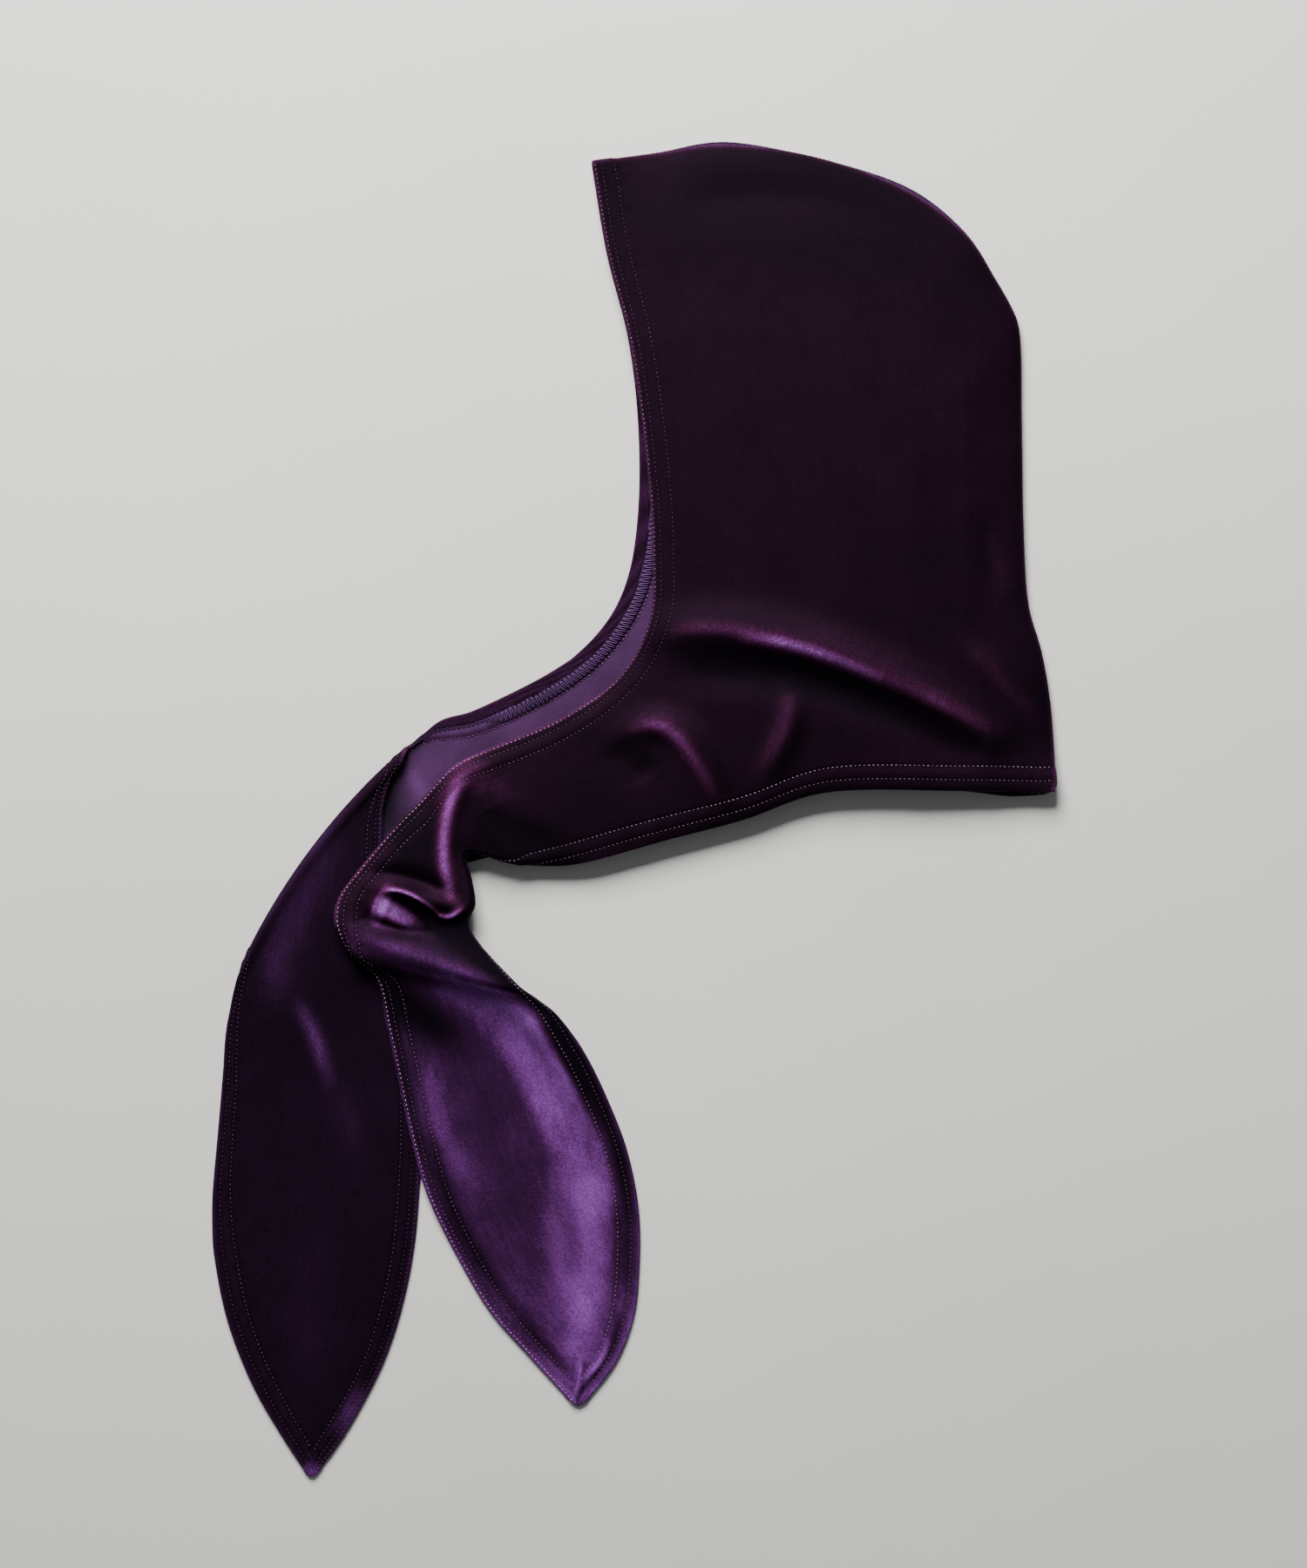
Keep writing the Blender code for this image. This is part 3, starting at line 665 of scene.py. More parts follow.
class Ribbon:
    """One half of the hood: its grid, normals, edge distances and painted sheen and shade, from tip
    to seam.
    """

    def __init__(self, half, side, tie, sheen, sheen_along):
        grid = np.concatenate([tie[::-1][:-1], side])
        root = len(tie) - 1
        grid = averaged(grid, root - ROOT_ROWS, root + ROOT_ROWS + 1, ROOT_ROUNDS)
        row = np.arange(len(grid))
        if half == "left":
            grid, sheen, row = grid[::-1], sheen[::-1], row[::-1]
        self.on_hood, self.past_root = (smooth((row - root - first) / count)
                                        for first, count in (ON_HOOD, PAST_ROOT))
        self.bloom = until(grid[..., 1], BLOOM_START[half], BLOOM_RUN)
        self.grid = grid
        self.measure()
        base = np.interp(row / row.max(), np.linspace(0.0, 1.0, len(sheen_along)), sheen_along)
        # Painted sheen and shade: slopes turned to the light are lightened, slopes turned away
        # darkened, and steep flanks lose their painted sheen
        light = unit(np.array(LIGHT_SIDE))
        slope = np.clip(self.normal @ light - light[2], *SLOPE_LIMITS)
        up = np.clip(self.normal[..., 2] * UPWARD_GAIN, 0.0, 1.0)
        self.grid = self.grid + self.normal * self.relief()[..., None]
        self.grid[..., 2] = np.maximum(self.grid[..., 2], FLOOR_CLEAR)
        self.measure()
        # The pile's tone: its base along the ribbon plus painted sheen and shade from the strokes,
        # the slope, the hems and the seam's rim
        self.sheen = base[:, None] + up * (sheen + SLOPE_SHEEN * slope) + self.hem_sheen_and_shade()
        self.sheen += mound(self.along - self.along[np.argmax(row)], SEAM_SHEEN)
        self.back_sheen = self.inner_sheen()

    def measure(self):
        """Normals and the distances of every point from the face edge and the neck edge."""
        self.normal = normals(self.grid)
        self.face = lengths(self.grid, 1)
        self.neck = self.face[:, -1:] - self.face
        self.along = lengths(self.grid, 0)

    def row_distance(self, edge, name):
        """Distance of a row of stitches from an edge, along the ribbon."""
        tie, neck = ROW_PLACES[name]
        return blend(tie, neck if edge == "neck" else tie, self.on_hood)

    def hems(self):
        """Each edge with every point's distance from it, from its two rows and their middle."""
        for edge, distance in (("face", self.face), ("neck", self.neck)):
            outer, inner = (self.row_distance(edge, name)[:, None]
                            for name in ("outer", "inner"))
            middle = 0.5 * (outer + inner)
            yield edge, distance, distance - outer, distance - inner, distance - middle

    def strength(self, edge):
        """How strongly a hem stands out along the ribbon: the hood's face edge is flatter."""
        return (1 - FLAT_FACE_HEM * self.on_hood * (edge == "face"))[:, None]

    def relief(self):
        """A groove at each row of stitches, a puff between them and puckers beside them."""
        turns = self.along * 2 * math.pi
        pucker = sum(height * np.sin(turns / wave + start) for wave, height, start in PUCKER_WAVES)
        total = np.zeros(self.face.shape)
        for edge, _, outer, inner, middle in self.hems():
            hem = mound(outer, GROOVE) + mound(inner, GROOVE) + mound(middle, PUFF)
            total += hem * self.strength(edge) + pucker * mound(inner - PUCKER_SHIFT, PUCKER)
        return total

    def hem_sheen_and_shade(self):
        """Painted sheen at the edges and on the puffs between the rows, painted shade in the grooves
        and over the face hem.
        """
        total = np.zeros(self.face.shape)
        for edge, d, outer, inner, middle in self.hems():
            hem = HEM_SHADE[edge] * until(inner, HEM_SHADE_RUN / 2, HEM_SHADE_RUN)
            hem += mound(middle, PUFF_SHEEN)
            hem += mound(outer, OUTER_GROOVE_SHADE) + mound(inner, INNER_GROOVE_SHADE)
            total += mound(d, RIM_SHEEN[edge]) + hem * self.strength(edge)
        return total

    def inner_sheen(self):
        """Tone of the wrong side: ribbed pile in the turned hem, then dark, then the knit with its
        painted highlight and painted shade.
        """
        edge = np.minimum(self.face, self.neck)
        pile = until(edge, *PILE_END)
        ribs = INNER_PILE + INNER_RIBS * np.sin(self.along * 2 * math.pi / RIB_PITCH)
        band = until(edge, *OVERLOCK_END) * (1 - pile)
        knit = strokes(self.grid[..., 0], self.grid[..., 1], BACK_SHEEN_AND_SHADE)
        return pile * ribs + (1 - pile) * knit + band * UNDER_OVERLOCK * self.past_root[:, None]

    def line(self, edge, distance, room=0.0):
        """Points and normals on the pile at a distance from an edge, where the ribbon is wide."""
        parts = (self.face if edge == "face" else self.neck), self.grid, self.normal
        if edge == "neck":
            parts = [part[:, ::-1] for part in parts]
        share, margin = ROW_ROOM
        wide = parts[0][:, -1] > share * np.maximum(distance, room) + margin
        s, grid, normal, distance = (part[wide] for part in (*parts, distance))
        k = np.clip((s < distance[:, None]).sum(axis=1), 1, s.shape[1] - 1)
        i = np.arange(len(s))
        t = ((distance - s[i, k - 1]) / (s[i, k] - s[i, k - 1]))[:, None]
        line, up = ((1 - t) * part[i, k - 1] + t * part[i, k] for part in (grid, normal))
        return line, up, wide

    def thickness(self):
        """Cloth thickness, twice as thick within the hems."""
        return CLOTH * (1 + until(np.minimum(self.face, self.neck), HEM_WIDTH, HEM_STEP))


@lru_cache
def right_ribbon():
    """Right half: crumpled at the strap, its neck edge turned under there."""
    tie, upper = tie_grid(RIGHT_TIE, CRUMPLE_ROWS)
    x, y = tie[..., 0], tie[..., 1]
    tie[..., 2] += strokes(x, y, STRAP_FOLDS) + upper * strokes(x, y, CRUMPLES + TIE_FOLDS)
    side = right_side_grid()
    side[..., 2] += strokes(side[..., 0], side[..., 1], CRUMPLES)
    tie_sheen = upper * strokes(x, y, RIGHT_TIE_SHEEN_AND_SHADE + SIDE_SHEEN_AND_SHADE)
    side_sheen = strokes(side[..., 0], side[..., 1], SIDE_SHEEN_AND_SHADE + RIGHT_TIE_SHEEN_AND_SHADE)
    sheen = np.concatenate([tie_sheen[::-1][:-1], side_sheen])
    return Ribbon("right", side, tie, sheen, RIGHT_SHEEN_ALONG)


@lru_cache
def left_ribbon():
    """Left half: wrong side up on the floor, its tie folded over once with the pile up."""
    tie = tie_grid(with_round_fold(LEFT_TIE, FOLD_ROW))[0]
    side = left_side_grid()
    tie_sheen = strokes(tie[..., 0], tie[..., 1], LEFT_TIE_SHEEN)
    sheen = np.concatenate([tie_sheen[::-1][:-1], np.zeros(side.shape[:2])])
    return Ribbon("left", side, tie, sheen, LEFT_SHEEN_ALONG)


RIBBONS = {"left": left_ribbon, "right": right_ribbon}


def to_metres(points):
    """Millimetres of the outlines to metres in the frame."""
    return (points - np.array([*CENTRE, 0.0])) * MM


def piece_from(name, points, faces, materials):
    """An object at the origin with its place in its mesh, riding on the body."""
    mesh = bpy.data.meshes.new(name)
    mesh.from_pydata(to_metres(points).tolist(), [], faces)
    for made in materials:
        mesh.materials.append(made)
    mesh.shade_smooth()
    piece = bpy.data.objects.new(name, mesh)
    bpy.context.scene.collection.objects.link(piece)
    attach(piece, "root")
    return piece


def grid_sides(index):
    """Point numbers along a grid's four sides, each side without its last point."""
    return [index[0, :-1], index[:-1, -1], index[-1, :0:-1], index[:0:-1, 0]]


def loop_directions(points, normal):
    """Unit directions along a closed loop and outwards from it, at every point."""
    tangent = np.roll(points, -1, 0) - np.roll(points, 1, 0)
    return unit(tangent), unit(np.cross(tangent, normal))


def wall(ribbon):
    """Closed wall: the pile grid, a grid pushed in along its normals and a half-round rim."""
    grid, n = ribbon.grid, ribbon.normal
    inner = grid - n * ribbon.thickness()[..., None]
    inner[..., 2] = np.maximum(inner[..., 2], FLOOR_CLEAR)
    count = grid[..., 0].size
    index = np.arange(count).reshape(grid.shape[:2])
    loop = np.concatenate(grid_sides(index))
    outer_loop, inner_loop, up = (part.reshape(-1, 3)[loop] for part in (grid, inner, n))
    middle = 0.5 * (outer_loop + inner_loop)
    outwards = loop_directions(outer_loop, up)[1]
    bulge = 0.5 * np.linalg.norm(outer_loop - inner_loop, axis=1, keepdims=True) * RIM_BULGE
    rim = [middle + (outer_loop - middle) * math.cos(a) + outwards * bulge * math.sin(a)
           for a in np.radians(RIM_ANGLES)]
    points = np.vstack([grid.reshape(-1, 3), inner.reshape(-1, 3), *rim])
    points[:, 2] = np.maximum(points[:, 2], 0.0)
    quads = np.stack([index[:-1, :-1], index[:-1, 1:], index[1:, 1:], index[1:, :-1]], axis=-1)
    outer_faces = quads.reshape(-1, 4)
    inner_faces = outer_faces[:, ::-1] + count
    rings = [loop]
    rings += [2 * count + k * len(loop) + np.arange(len(loop)) for k in range(len(rim))]
    rings += [loop + count]
    rim_faces = [np.stack([a, b, np.roll(b, -1), np.roll(a, -1)], axis=-1)
                 for a, b in zip(rings, rings[1:])]
    return points, np.vstack([outer_faces, inner_faces, *rim_faces]), loop, len(outer_faces)


def every_point(outer, inner, loop):
    """Values for the pile grid, the inner grid and the rings of the rim."""
    return np.concatenate([outer.ravel(), inner.ravel(), *[outer.ravel()[loop]] * len(RIM_ANGLES)])


def add_values(piece, name, values):
    """A number at every point of a piece, which its material reads by name."""
    attribute = piece.data.attributes.new(name, "FLOAT", "POINT")
    attribute.data.foreach_set("value", values.astype(np.float32))


def build_half(half, nodes):
    """One half of the hood as a closed wall with its sheen attribute and its cloth UV map."""
    ribbon = RIBBONS[half]()
    points, faces, loop, outer_count = wall(ribbon)
    piece = piece_from(half + "_half", points, faces.tolist(), [velvet_pile(), knit_back()])
    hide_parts(*nodes)
    edge = np.minimum(ribbon.face, ribbon.neck)
    inside = 0.25 * (edge[:-1, :-1] + edge[:-1, 1:] + edge[1:, 1:] + edge[1:, :-1]) > TURNED_PILE
    slots = np.zeros(len(faces), np.int32)
    slots[outer_count:2 * outer_count] = inside.ravel()
    piece.data.polygons.foreach_set("material_index", slots)
    # The pile's tone with its painted sheen and shade, and on the wrong side the knit's painted
    # highlight and shade
    add_values(piece, "sheen", every_point(ribbon.sheen, ribbon.back_sheen, loop))
    inner_bloom = np.maximum(ribbon.bloom, INNER_BLOOM)
    add_values(piece, "bloom", every_point(ribbon.bloom, inner_bloom, loop))
    uv = piece.data.uv_layers.new(name="cloth")
    flat = np.stack([every_point(a, a, loop) for a in (ribbon.face, ribbon.along)], axis=-1) * MM
    uv.data.foreach_set("uv", flat[faces.ravel()].ravel().astype(np.float32))
    return piece


def tubes(path, normal, radius, sides):
    """Closed tubes along many paths: a ring of sides round every point and a cap at both ends."""
    path = path.copy()
    path[..., 2] = np.maximum(path[..., 2], radius + FLOOR_CLEAR)
    tangent = unit(np.gradient(path, axis=1))
    b = unit(np.cross(tangent, normal))
    n = np.cross(b, tangent)
    angle = np.arange(sides) * 2 * math.pi / sides
    ring = (np.cos(angle)[:, None] * b[:, :, None] + np.sin(angle)[:, None] * n[:, :, None])
    points = path[:, :, None] + radius[:, :, None, None] * ring
    index = np.arange(points[..., 0].size).reshape(points.shape[:3])
    turned = np.roll(index, -1, axis=2)
    quads = np.stack([index[:, :-1], index[:, 1:], turned[:, 1:], turned[:, :-1]], axis=-1)
    caps = index[:, 0].tolist() + index[:, -1, ::-1].tolist()
    return points.reshape(-1, 3), quads.reshape(-1, 4).tolist() + caps


def dashes(line, normal, shade, pitch, thread):
    """Stitches on a line: short bars with thin ends, each arched a little over the cloth."""
    length = lengths(line[None], 1)[0]
    count = int(length[-1] / pitch)
    middle = (np.arange(count) + 0.5) * pitch
    t = np.array(STITCH_POINTS)
    where = middle[:, None] + t * pitch * STITCH_SHARE
    up = unit(read_at(where, length, normal))
    arch = STITCH_ARCH * (1 - (2 * t) ** 2) - STITCH_SINK
    path = read_at(where, length, line) + up * arch[:, None]
    radius = np.broadcast_to(thread * np.array(STITCH_TAPER), where.shape)
    shows = np.random.default_rng(count).uniform(*STITCH_SHOWS, count)
    return path, up, radius, np.interp(middle, length, shade) * shows


def stitch_rows(half, sizes):
    """All rows of stitches of a half as dash paths: the outer rows, then those on the wrong side."""
    ribbon = RIBBONS[half]()
    pitch = sizes.stitch_pitch / MM
    thread = sizes.thread / MM / 2
    parts = []
    for row in OUTSIDE_ROWS[half] + INSIDE_ROWS:
        f = dict(zip(ROW_COLUMNS, row))
        line, normal, wide = ribbon.line(f["edge"], ribbon.row_distance(f["edge"], f["row"]))
        shade = blend(f["tie_shade"], f["hood_shade"], ribbon.on_hood[wide])
        if f["row"] == "wrong_side":
            line, normal = line - normal * (CLOTH + WRONG_SIDE_CLEAR), -normal
        parts.append(dashes(line, normal, shade, pitch, thread))
    return [np.concatenate([part[k] for part in parts]) for k in range(4)]


def build_stitches(half, sizes):
    """The stitches of a half as one mesh."""
    path, up, radius, shade = stitch_rows(half, sizes)
    points, faces = tubes(path, up, radius, STITCH_SIDES)
    piece = piece_from(half + "_stitches", points, faces, [sewing_thread()])
    add_values(piece, "shade", np.repeat(shade, path.shape[1] * STITCH_SIDES))
    return piece


def overlock_path(ribbon, edge, pitch):
    """Rungs on the wrong side: a cosine wave between two lines, run through in even jumps."""
    near, far = OVERLOCK
    narrow = blend(OVERLOCK_NARROW, 1.0, ribbon.past_root)
    near_line = ribbon.line(edge, np.full(len(narrow), near), far)[0]
    far_line, normal, wide = ribbon.line(edge, blend(near, far, narrow), far)
    length = lengths(near_line[None], 1)[0]
    waves = int(length[-1] / pitch)
    turn = np.linspace(0.0, waves, waves * OVERLOCK_POINTS + 1) * 2 * math.pi
    s = (turn + 0.5 * OVERLOCK_RUNG * np.sin(2 * turn)) / turn[-1] * length[-1]
    wave = 0.5 - 0.5 * np.cos(turn)[:, None]
    a, b, up = (read_at(s, length, line) for line in (near_line, far_line, -normal))
    distance = near + (far - near) * wave * np.interp(s, length, narrow[wide])[:, None]
    under = CLOTH * (1 + until(distance, HEM_WIDTH, HEM_STEP)) + OVERLOCK_CLEAR
    shade = np.interp(s, length, blend(*OVERLOCK_SHADE, ribbon.past_root[wide]))
    return blend(a, b, wave) + up * under, up, shade * blend(1.0, OVERLOCK_FAR_SHADE, wave[:, 0])


def build_overlock(half, sizes):
    """The overlock thread that binds the cut edge of both hems of a half, on the wrong side."""
    points, faces, shades, start = [], [], [], 0
    for edge in ("face", "neck"):
        path, up, shade = overlock_path(RIBBONS[half](), edge, sizes.overlock_pitch / MM)
        radius = np.full((1, len(path)), sizes.overlock_thread / MM / 2)
        tube_points, tube_faces = tubes(path[None], up[None], radius, OVERLOCK_SIDES)
        points.append(tube_points)
        shades.append(np.repeat(shade, OVERLOCK_SIDES))
        faces += [[k + start for k in face] for face in tube_faces]
        start += len(tube_points)
    threads = [overlock_thread()]
    piece = piece_from(half + "_overlock", np.vstack(points), faces, threads)
    add_values(piece, "shade", np.concatenate(shades))
    return piece


def build_centre_seam(sizes):
    """The pressed seam between the halves: a round tube along the crown and the back."""
    share = np.linspace(0.0, 1.0, SEAM_POINTS)
    height = SEAM_LIFT + CLOTH + GAP + 0.5 * corner_lift(share)
    path = np.concatenate([by_length(spline(SEAM), share), height[:, None]], axis=1)
    tangent = unit(np.gradient(path, axis=0))
    inwards = np.stack([tangent[:, 1], -tangent[:, 0], np.zeros(len(path))], axis=-1)
    path = path + inwards * SEAM_INSET
    up = np.broadcast_to(np.array([0.0, 0.0, 1.0]), path.shape)
    radius = np.full((1, len(path)), sizes.seam / MM / 2)
    points, faces = tubes(path[None], up[None], radius, SEAM_SIDES)
    return piece_from("centre_seam", points, faces, [fringe_pile()])


def build_pile_fringe(half, sizes):
    """Fibres of pile that stand out past the edges of a half: thin closed spikes."""
    ribbon = RIBBONS[half]()
    random = np.random.default_rng(FRINGE_SEEDS[half])
    index = np.arange(ribbon.face.size).reshape(ribbon.face.shape)
    first, *others = grid_sides(index)
    loop = np.concatenate([*others, first])
    base, normal = (part.reshape(-1, 3)[loop] for part in (ribbon.grid, ribbon.normal))
    along, out = loop_directions(base, normal)
    following = np.roll(base, -1, 0)
    step = np.linalg.norm(following - base, axis=1)
    if half == "right":
        step = step * (normal[:, 2] > FRINGE_UPRIGHT)
    count = sizes.fringe_count
    chosen = random.choice(len(loop), count, p=step / step.sum())
    root = blend(base[chosen], following[chosen], random.random((count, 1)))
    normal = normal[chosen]
    lean = random.normal(0.0, FRINGE_LEAN, (count, 2)) * np.array([1.0, FRINGE_RISE])
    aim = unit(out[chosen] + along[chosen] * lean[:, :1] + normal * lean[:, 1:])
    root = root - normal * random.uniform(*FRINGE_DEPTHS, (count, 1))
    long = sizes.fringe / MM * random.uniform(*FRINGE_LENGTHS, (count, 1))
    path = np.stack([root - aim * FRINGE_ROOT, root + aim * long * FRINGE_MIDDLE,
                     root + aim * long], axis=1)
    path[..., 2] = np.maximum(path[..., 2], FRINGE_CLEAR)
    thick = sizes.fringe_fibre / MM / 2 * np.array(FRINGE_TAPER)
    radius = np.broadcast_to(thick, path.shape[:2])
    up = np.broadcast_to(normal[:, None], path.shape)
    points, faces = tubes(path, up, radius, FRINGE_SIDES)
    return piece_from(half + "_pile_fringe", points, faces, [fringe_pile()])


def new_material(name):
    """A node material, its node tree and its shader."""
    made = bpy.data.materials.new(name)
    made.use_nodes = True
    return made, made.node_tree, made.node_tree.nodes["Principled BSDF"]


def add_node(tree, kind, inputs=(), **settings):
    """A node with its settings, each input linked to a socket or set to a value."""
    node = tree.nodes.new(kind)
    for key, value in settings.items():
        setattr(node, key, value)
    for key, value in dict(inputs).items():
        if isinstance(value, bpy.types.NodeSocket):
            tree.links.new(value, node.inputs[key])
        else:
            node.inputs[key].default_value = value
    return node


def ramp(tree, factor, stops):
    """A colour ramp through stops of a place and a colour."""
    node = add_node(tree, "ShaderNodeValToRGB", {"Fac": factor})
    band = node.color_ramp
    while len(band.elements) < len(stops):
        band.elements.new(0.5)
    for element, (position, colour) in zip(band.elements, stops):
        element.position = position
        element.color = (*colour, 1.0)
    return node.outputs["Color"]


def noise(tree, vector, scale, detail=2.0, rough=0.5):
    """A noise pattern from 0 to 1."""
    node = add_node(tree, "ShaderNodeTexNoise",
                    {"Vector": vector, "Scale": scale, "Detail": detail, "Roughness": rough})
    return node.outputs["Fac"]


def centred_noise(tree, vector, scale, detail, rough):
    """A noise pattern about 0."""
    return math_node(tree, "SUBTRACT", noise(tree, vector, scale, detail, rough), 0.5)


def math_node(tree, kind, a, b):
    """Two numbers or sockets worked into one."""
    return add_node(tree, "ShaderNodeMath", {0: a, 1: b}, operation=kind).outputs[0]


def set_shader(shader, **values):
    """Numbers and colours on the shader's own sockets, by their names with underscores."""
    for key, value in values.items():
        shader.inputs[key.replace("_", " ")].default_value = value


def weighted(tree, *parts):
    """Sum of weighted sockets."""
    total = None
    for weight, socket in parts:
        product = math_node(tree, "MULTIPLY", socket, weight)
        total = product if total is None else math_node(tree, "ADD", total, product)
    return total


def coordinates(tree, kind):
    """Object coordinates, or the piece's own UV map."""
    return add_node(tree, "ShaderNodeTexCoord").outputs[kind]


def attribute(tree, name):
    """The number that a piece's mesh holds at every point under a name."""
    return add_node(tree, "ShaderNodeAttribute", attribute_name=name).outputs["Fac"]


def add_bump(tree, shader, height, strength, distance):
    """Fine relief on a shader from a pattern of heights, as deep as the distance in metres."""
    relief = add_node(tree, "ShaderNodeBump",
                      {"Strength": strength, "Distance": distance, "Height": height})
    tree.links.new(relief.outputs[0], shader.inputs["Normal"])


@lru_cache
def velvet_pile():
    """Dark plum pile: tone, painted sheen and shade from the sheen attribute, brushed and grained by
    noise, pick its colour.
    """
    made, tree, shader = new_material("velvet_pile")
    where = coordinates(tree, "Object")
    brushed = add_node(tree, "ShaderNodeMapping", {"Vector": coordinates(tree, "UV"),
                                                   "Scale": (260.0, 60.0, 1.0)}).outputs[0]
    sheen = attribute(tree, "sheen")
    mottle = weighted(tree, (0.60, centred_noise(tree, where, scale=38.0, detail=4.0, rough=0.62)),
                      (0.40, centred_noise(tree, brushed, scale=1.0, detail=3.0, rough=0.6)),
                      (1.10, centred_noise(tree, where, scale=800.0, detail=3.0, rough=0.75)))
    strength = math_node(tree, "ADD", math_node(tree, "MAXIMUM", sheen, 0.0), 0.10)
    value = math_node(tree, "ADD", sheen, math_node(tree, "MULTIPLY", mottle, strength))
    colour = add_node(tree, "ShaderNodeMixRGB", {"Fac": attribute(tree, "bloom"),
                                                 "Color1": ramp(tree, value, PILE_STOPS),
                                                 "Color2": ramp(tree, value, TIE_STOPS)})
    tree.links.new(colour.outputs[0], shader.inputs["Base Color"])
    fibres = noise(tree, where, scale=1500.0, detail=2.0, rough=0.6)
    add_bump(tree, shader, fibres, strength=0.35, distance=0.0003)
    set_shader(shader, Roughness=0.62, Specular_IOR_Level=0.04, Specular_Tint=(0.80, 0.50, 0.90, 1.0),
               Sheen_Weight=0.04, Sheen_Roughness=0.35, Sheen_Tint=(0.62, 0.28, 0.80, 1.0))
    return made


@lru_cache
def knit_back():
    """Mauve knitted ground: fine wales across the UV map, a soft cloudy colour with painted highlight
    and shade, low gloss.
    """
    made, tree, shader = new_material("knit_back")
    where = coordinates(tree, "Object")
    wales = add_node(tree, "ShaderNodeTexWave", {"Vector": coordinates(tree, "UV"), "Scale": 220.0,
                                                 "Distortion": 0.4}).outputs["Fac"]
    value = weighted(tree, (0.5, noise(tree, where, scale=30.0, detail=3.0)),
                     (0.3, noise(tree, where, scale=1400.0)), (0.08, wales))
    value = math_node(tree, "ADD", value, attribute(tree, "sheen"))
    tree.links.new(ramp(tree, value, KNIT_STOPS), shader.inputs["Base Color"])
    add_bump(tree, shader, wales, strength=0.15, distance=0.0001)
    set_shader(shader, Roughness=0.55, Specular_IOR_Level=0.12, Sheen_Weight=0.08,
               Sheen_Roughness=0.4, Sheen_Tint=(0.75, 0.5, 0.9, 1.0))
    return made


def thread_material(name, dark, light, gloss, shaded):
    """Thread: noise picks between two colours, which a shade attribute may hold back."""
    made, tree, shader = new_material(name)
    where = coordinates(tree, "Object")
    value = weighted(tree, (0.6, noise(tree, where, scale=700.0, rough=0.7)),
                     (0.8, noise(tree, where, scale=22.0, rough=0.6)))
    if shaded:
        lighter = math_node(tree, "ADD", value, 0.2)
        value = math_node(tree, "MULTIPLY", lighter, attribute(tree, "shade"))
    tree.links.new(ramp(tree, value, ((0.0, dark), (1.0, light))), shader.inputs["Base Color"])
    twist = noise(tree, where, scale=2500.0, detail=1.0)
    add_bump(tree, shader, twist, strength=0.4, distance=0.0001)
    set_shader(shader, Roughness=0.45, Specular_IOR_Level=gloss)
    return made


@lru_cache
def sewing_thread():
    """Thread of the rows of stitches: rosy where its painted light is strong, near black where it is
    painted in shade.
    """
    return thread_material("sewing_thread", dark=(0.02, 0.006, 0.02), light=(0.58, 0.32, 0.52),
                           gloss=0.1, shaded=True)


@lru_cache
def overlock_thread():
    """Thread of the overlock on the wrong side."""
    return thread_material("overlock_thread", dark=(0.010, 0.003, 0.016),
                           light=(0.150, 0.056, 0.210), gloss=0.2, shaded=True)


@lru_cache
def fringe_pile():
    """Single fibres of pile at the edges, and the pressed seam."""
    return thread_material("fringe_pile", dark=(0.02, 0.006, 0.03), light=(0.20, 0.08, 0.27),
                           gloss=0.2, shaded=False)


def declare_cloth(half):
    """Looks up the grid of a half and does nothing more with it."""
    grid = RIBBONS[half]().grid


def add_light(name, location, size, energy, colour):
    """A square area light that looks at the origin."""
    data = bpy.data.lights.new(name, "AREA")
    data.size = size
    data.energy = energy
    data.color = colour
    lamp = bpy.data.objects.new(name, data)
    way = -np.array(location)
    lamp.location = location
    lamp.rotation_euler = (math.acos(-way[2] / np.linalg.norm(way)), 0.0,
                           math.atan2(way[1], way[0]) - math.pi / 2)
    bpy.context.scene.collection.objects.link(lamp)


def build_floor(colour):
    """The plain pale floor, a little deeper in wide soft patches."""
    mesh = bpy.data.meshes.new("floor")
    half = FLOOR_SIZE / 2
    corners = [(-half, -half, 0.0), (half, -half, 0.0), (half, half, 0.0), (-half, half, 0.0)]
    mesh.from_pydata(corners, [], [(0, 1, 2, 3)])
    made, tree, shader = new_material("floor")
    patches = noise(tree, coordinates(tree, "Object"), scale=3.0, detail=4.0)
    deeper = tuple(FLOOR_DEEPER * c for c in colour)
    stops = ((0.3, deeper), (0.7, tuple(colour)))
    tree.links.new(ramp(tree, patches, stops), shader.inputs["Base Color"])
    set_shader(shader, Roughness=0.9, Specular_IOR_Level=0.2)
    mesh.materials.append(made)
    floor = bpy.data.objects.new("floor", mesh)
    bpy.context.scene.collection.objects.link(floor)


def add_world(strength):
    """Even light from all round."""
    world = bpy.data.worlds.new("studio")
    world.use_nodes = True
    world.node_tree.nodes["Background"].inputs["Color"].default_value = WORLD_COLOUR
    world.node_tree.nodes["Background"].inputs["Strength"].default_value = strength
    bpy.context.scene.world = world


def add_camera(place, view_height):
    """A camera that looks straight down on a height of floor."""
    camera = bpy.data.cameras.new("camera")
    camera.sensor_fit = "VERTICAL"
    camera.sensor_height = 36.0
    camera.lens = camera.sensor_height * place[2] / view_height
    eye = bpy.data.objects.new("camera", camera)
    eye.location = place
    bpy.context.scene.collection.objects.link(eye)
    bpy.context.scene.camera = eye


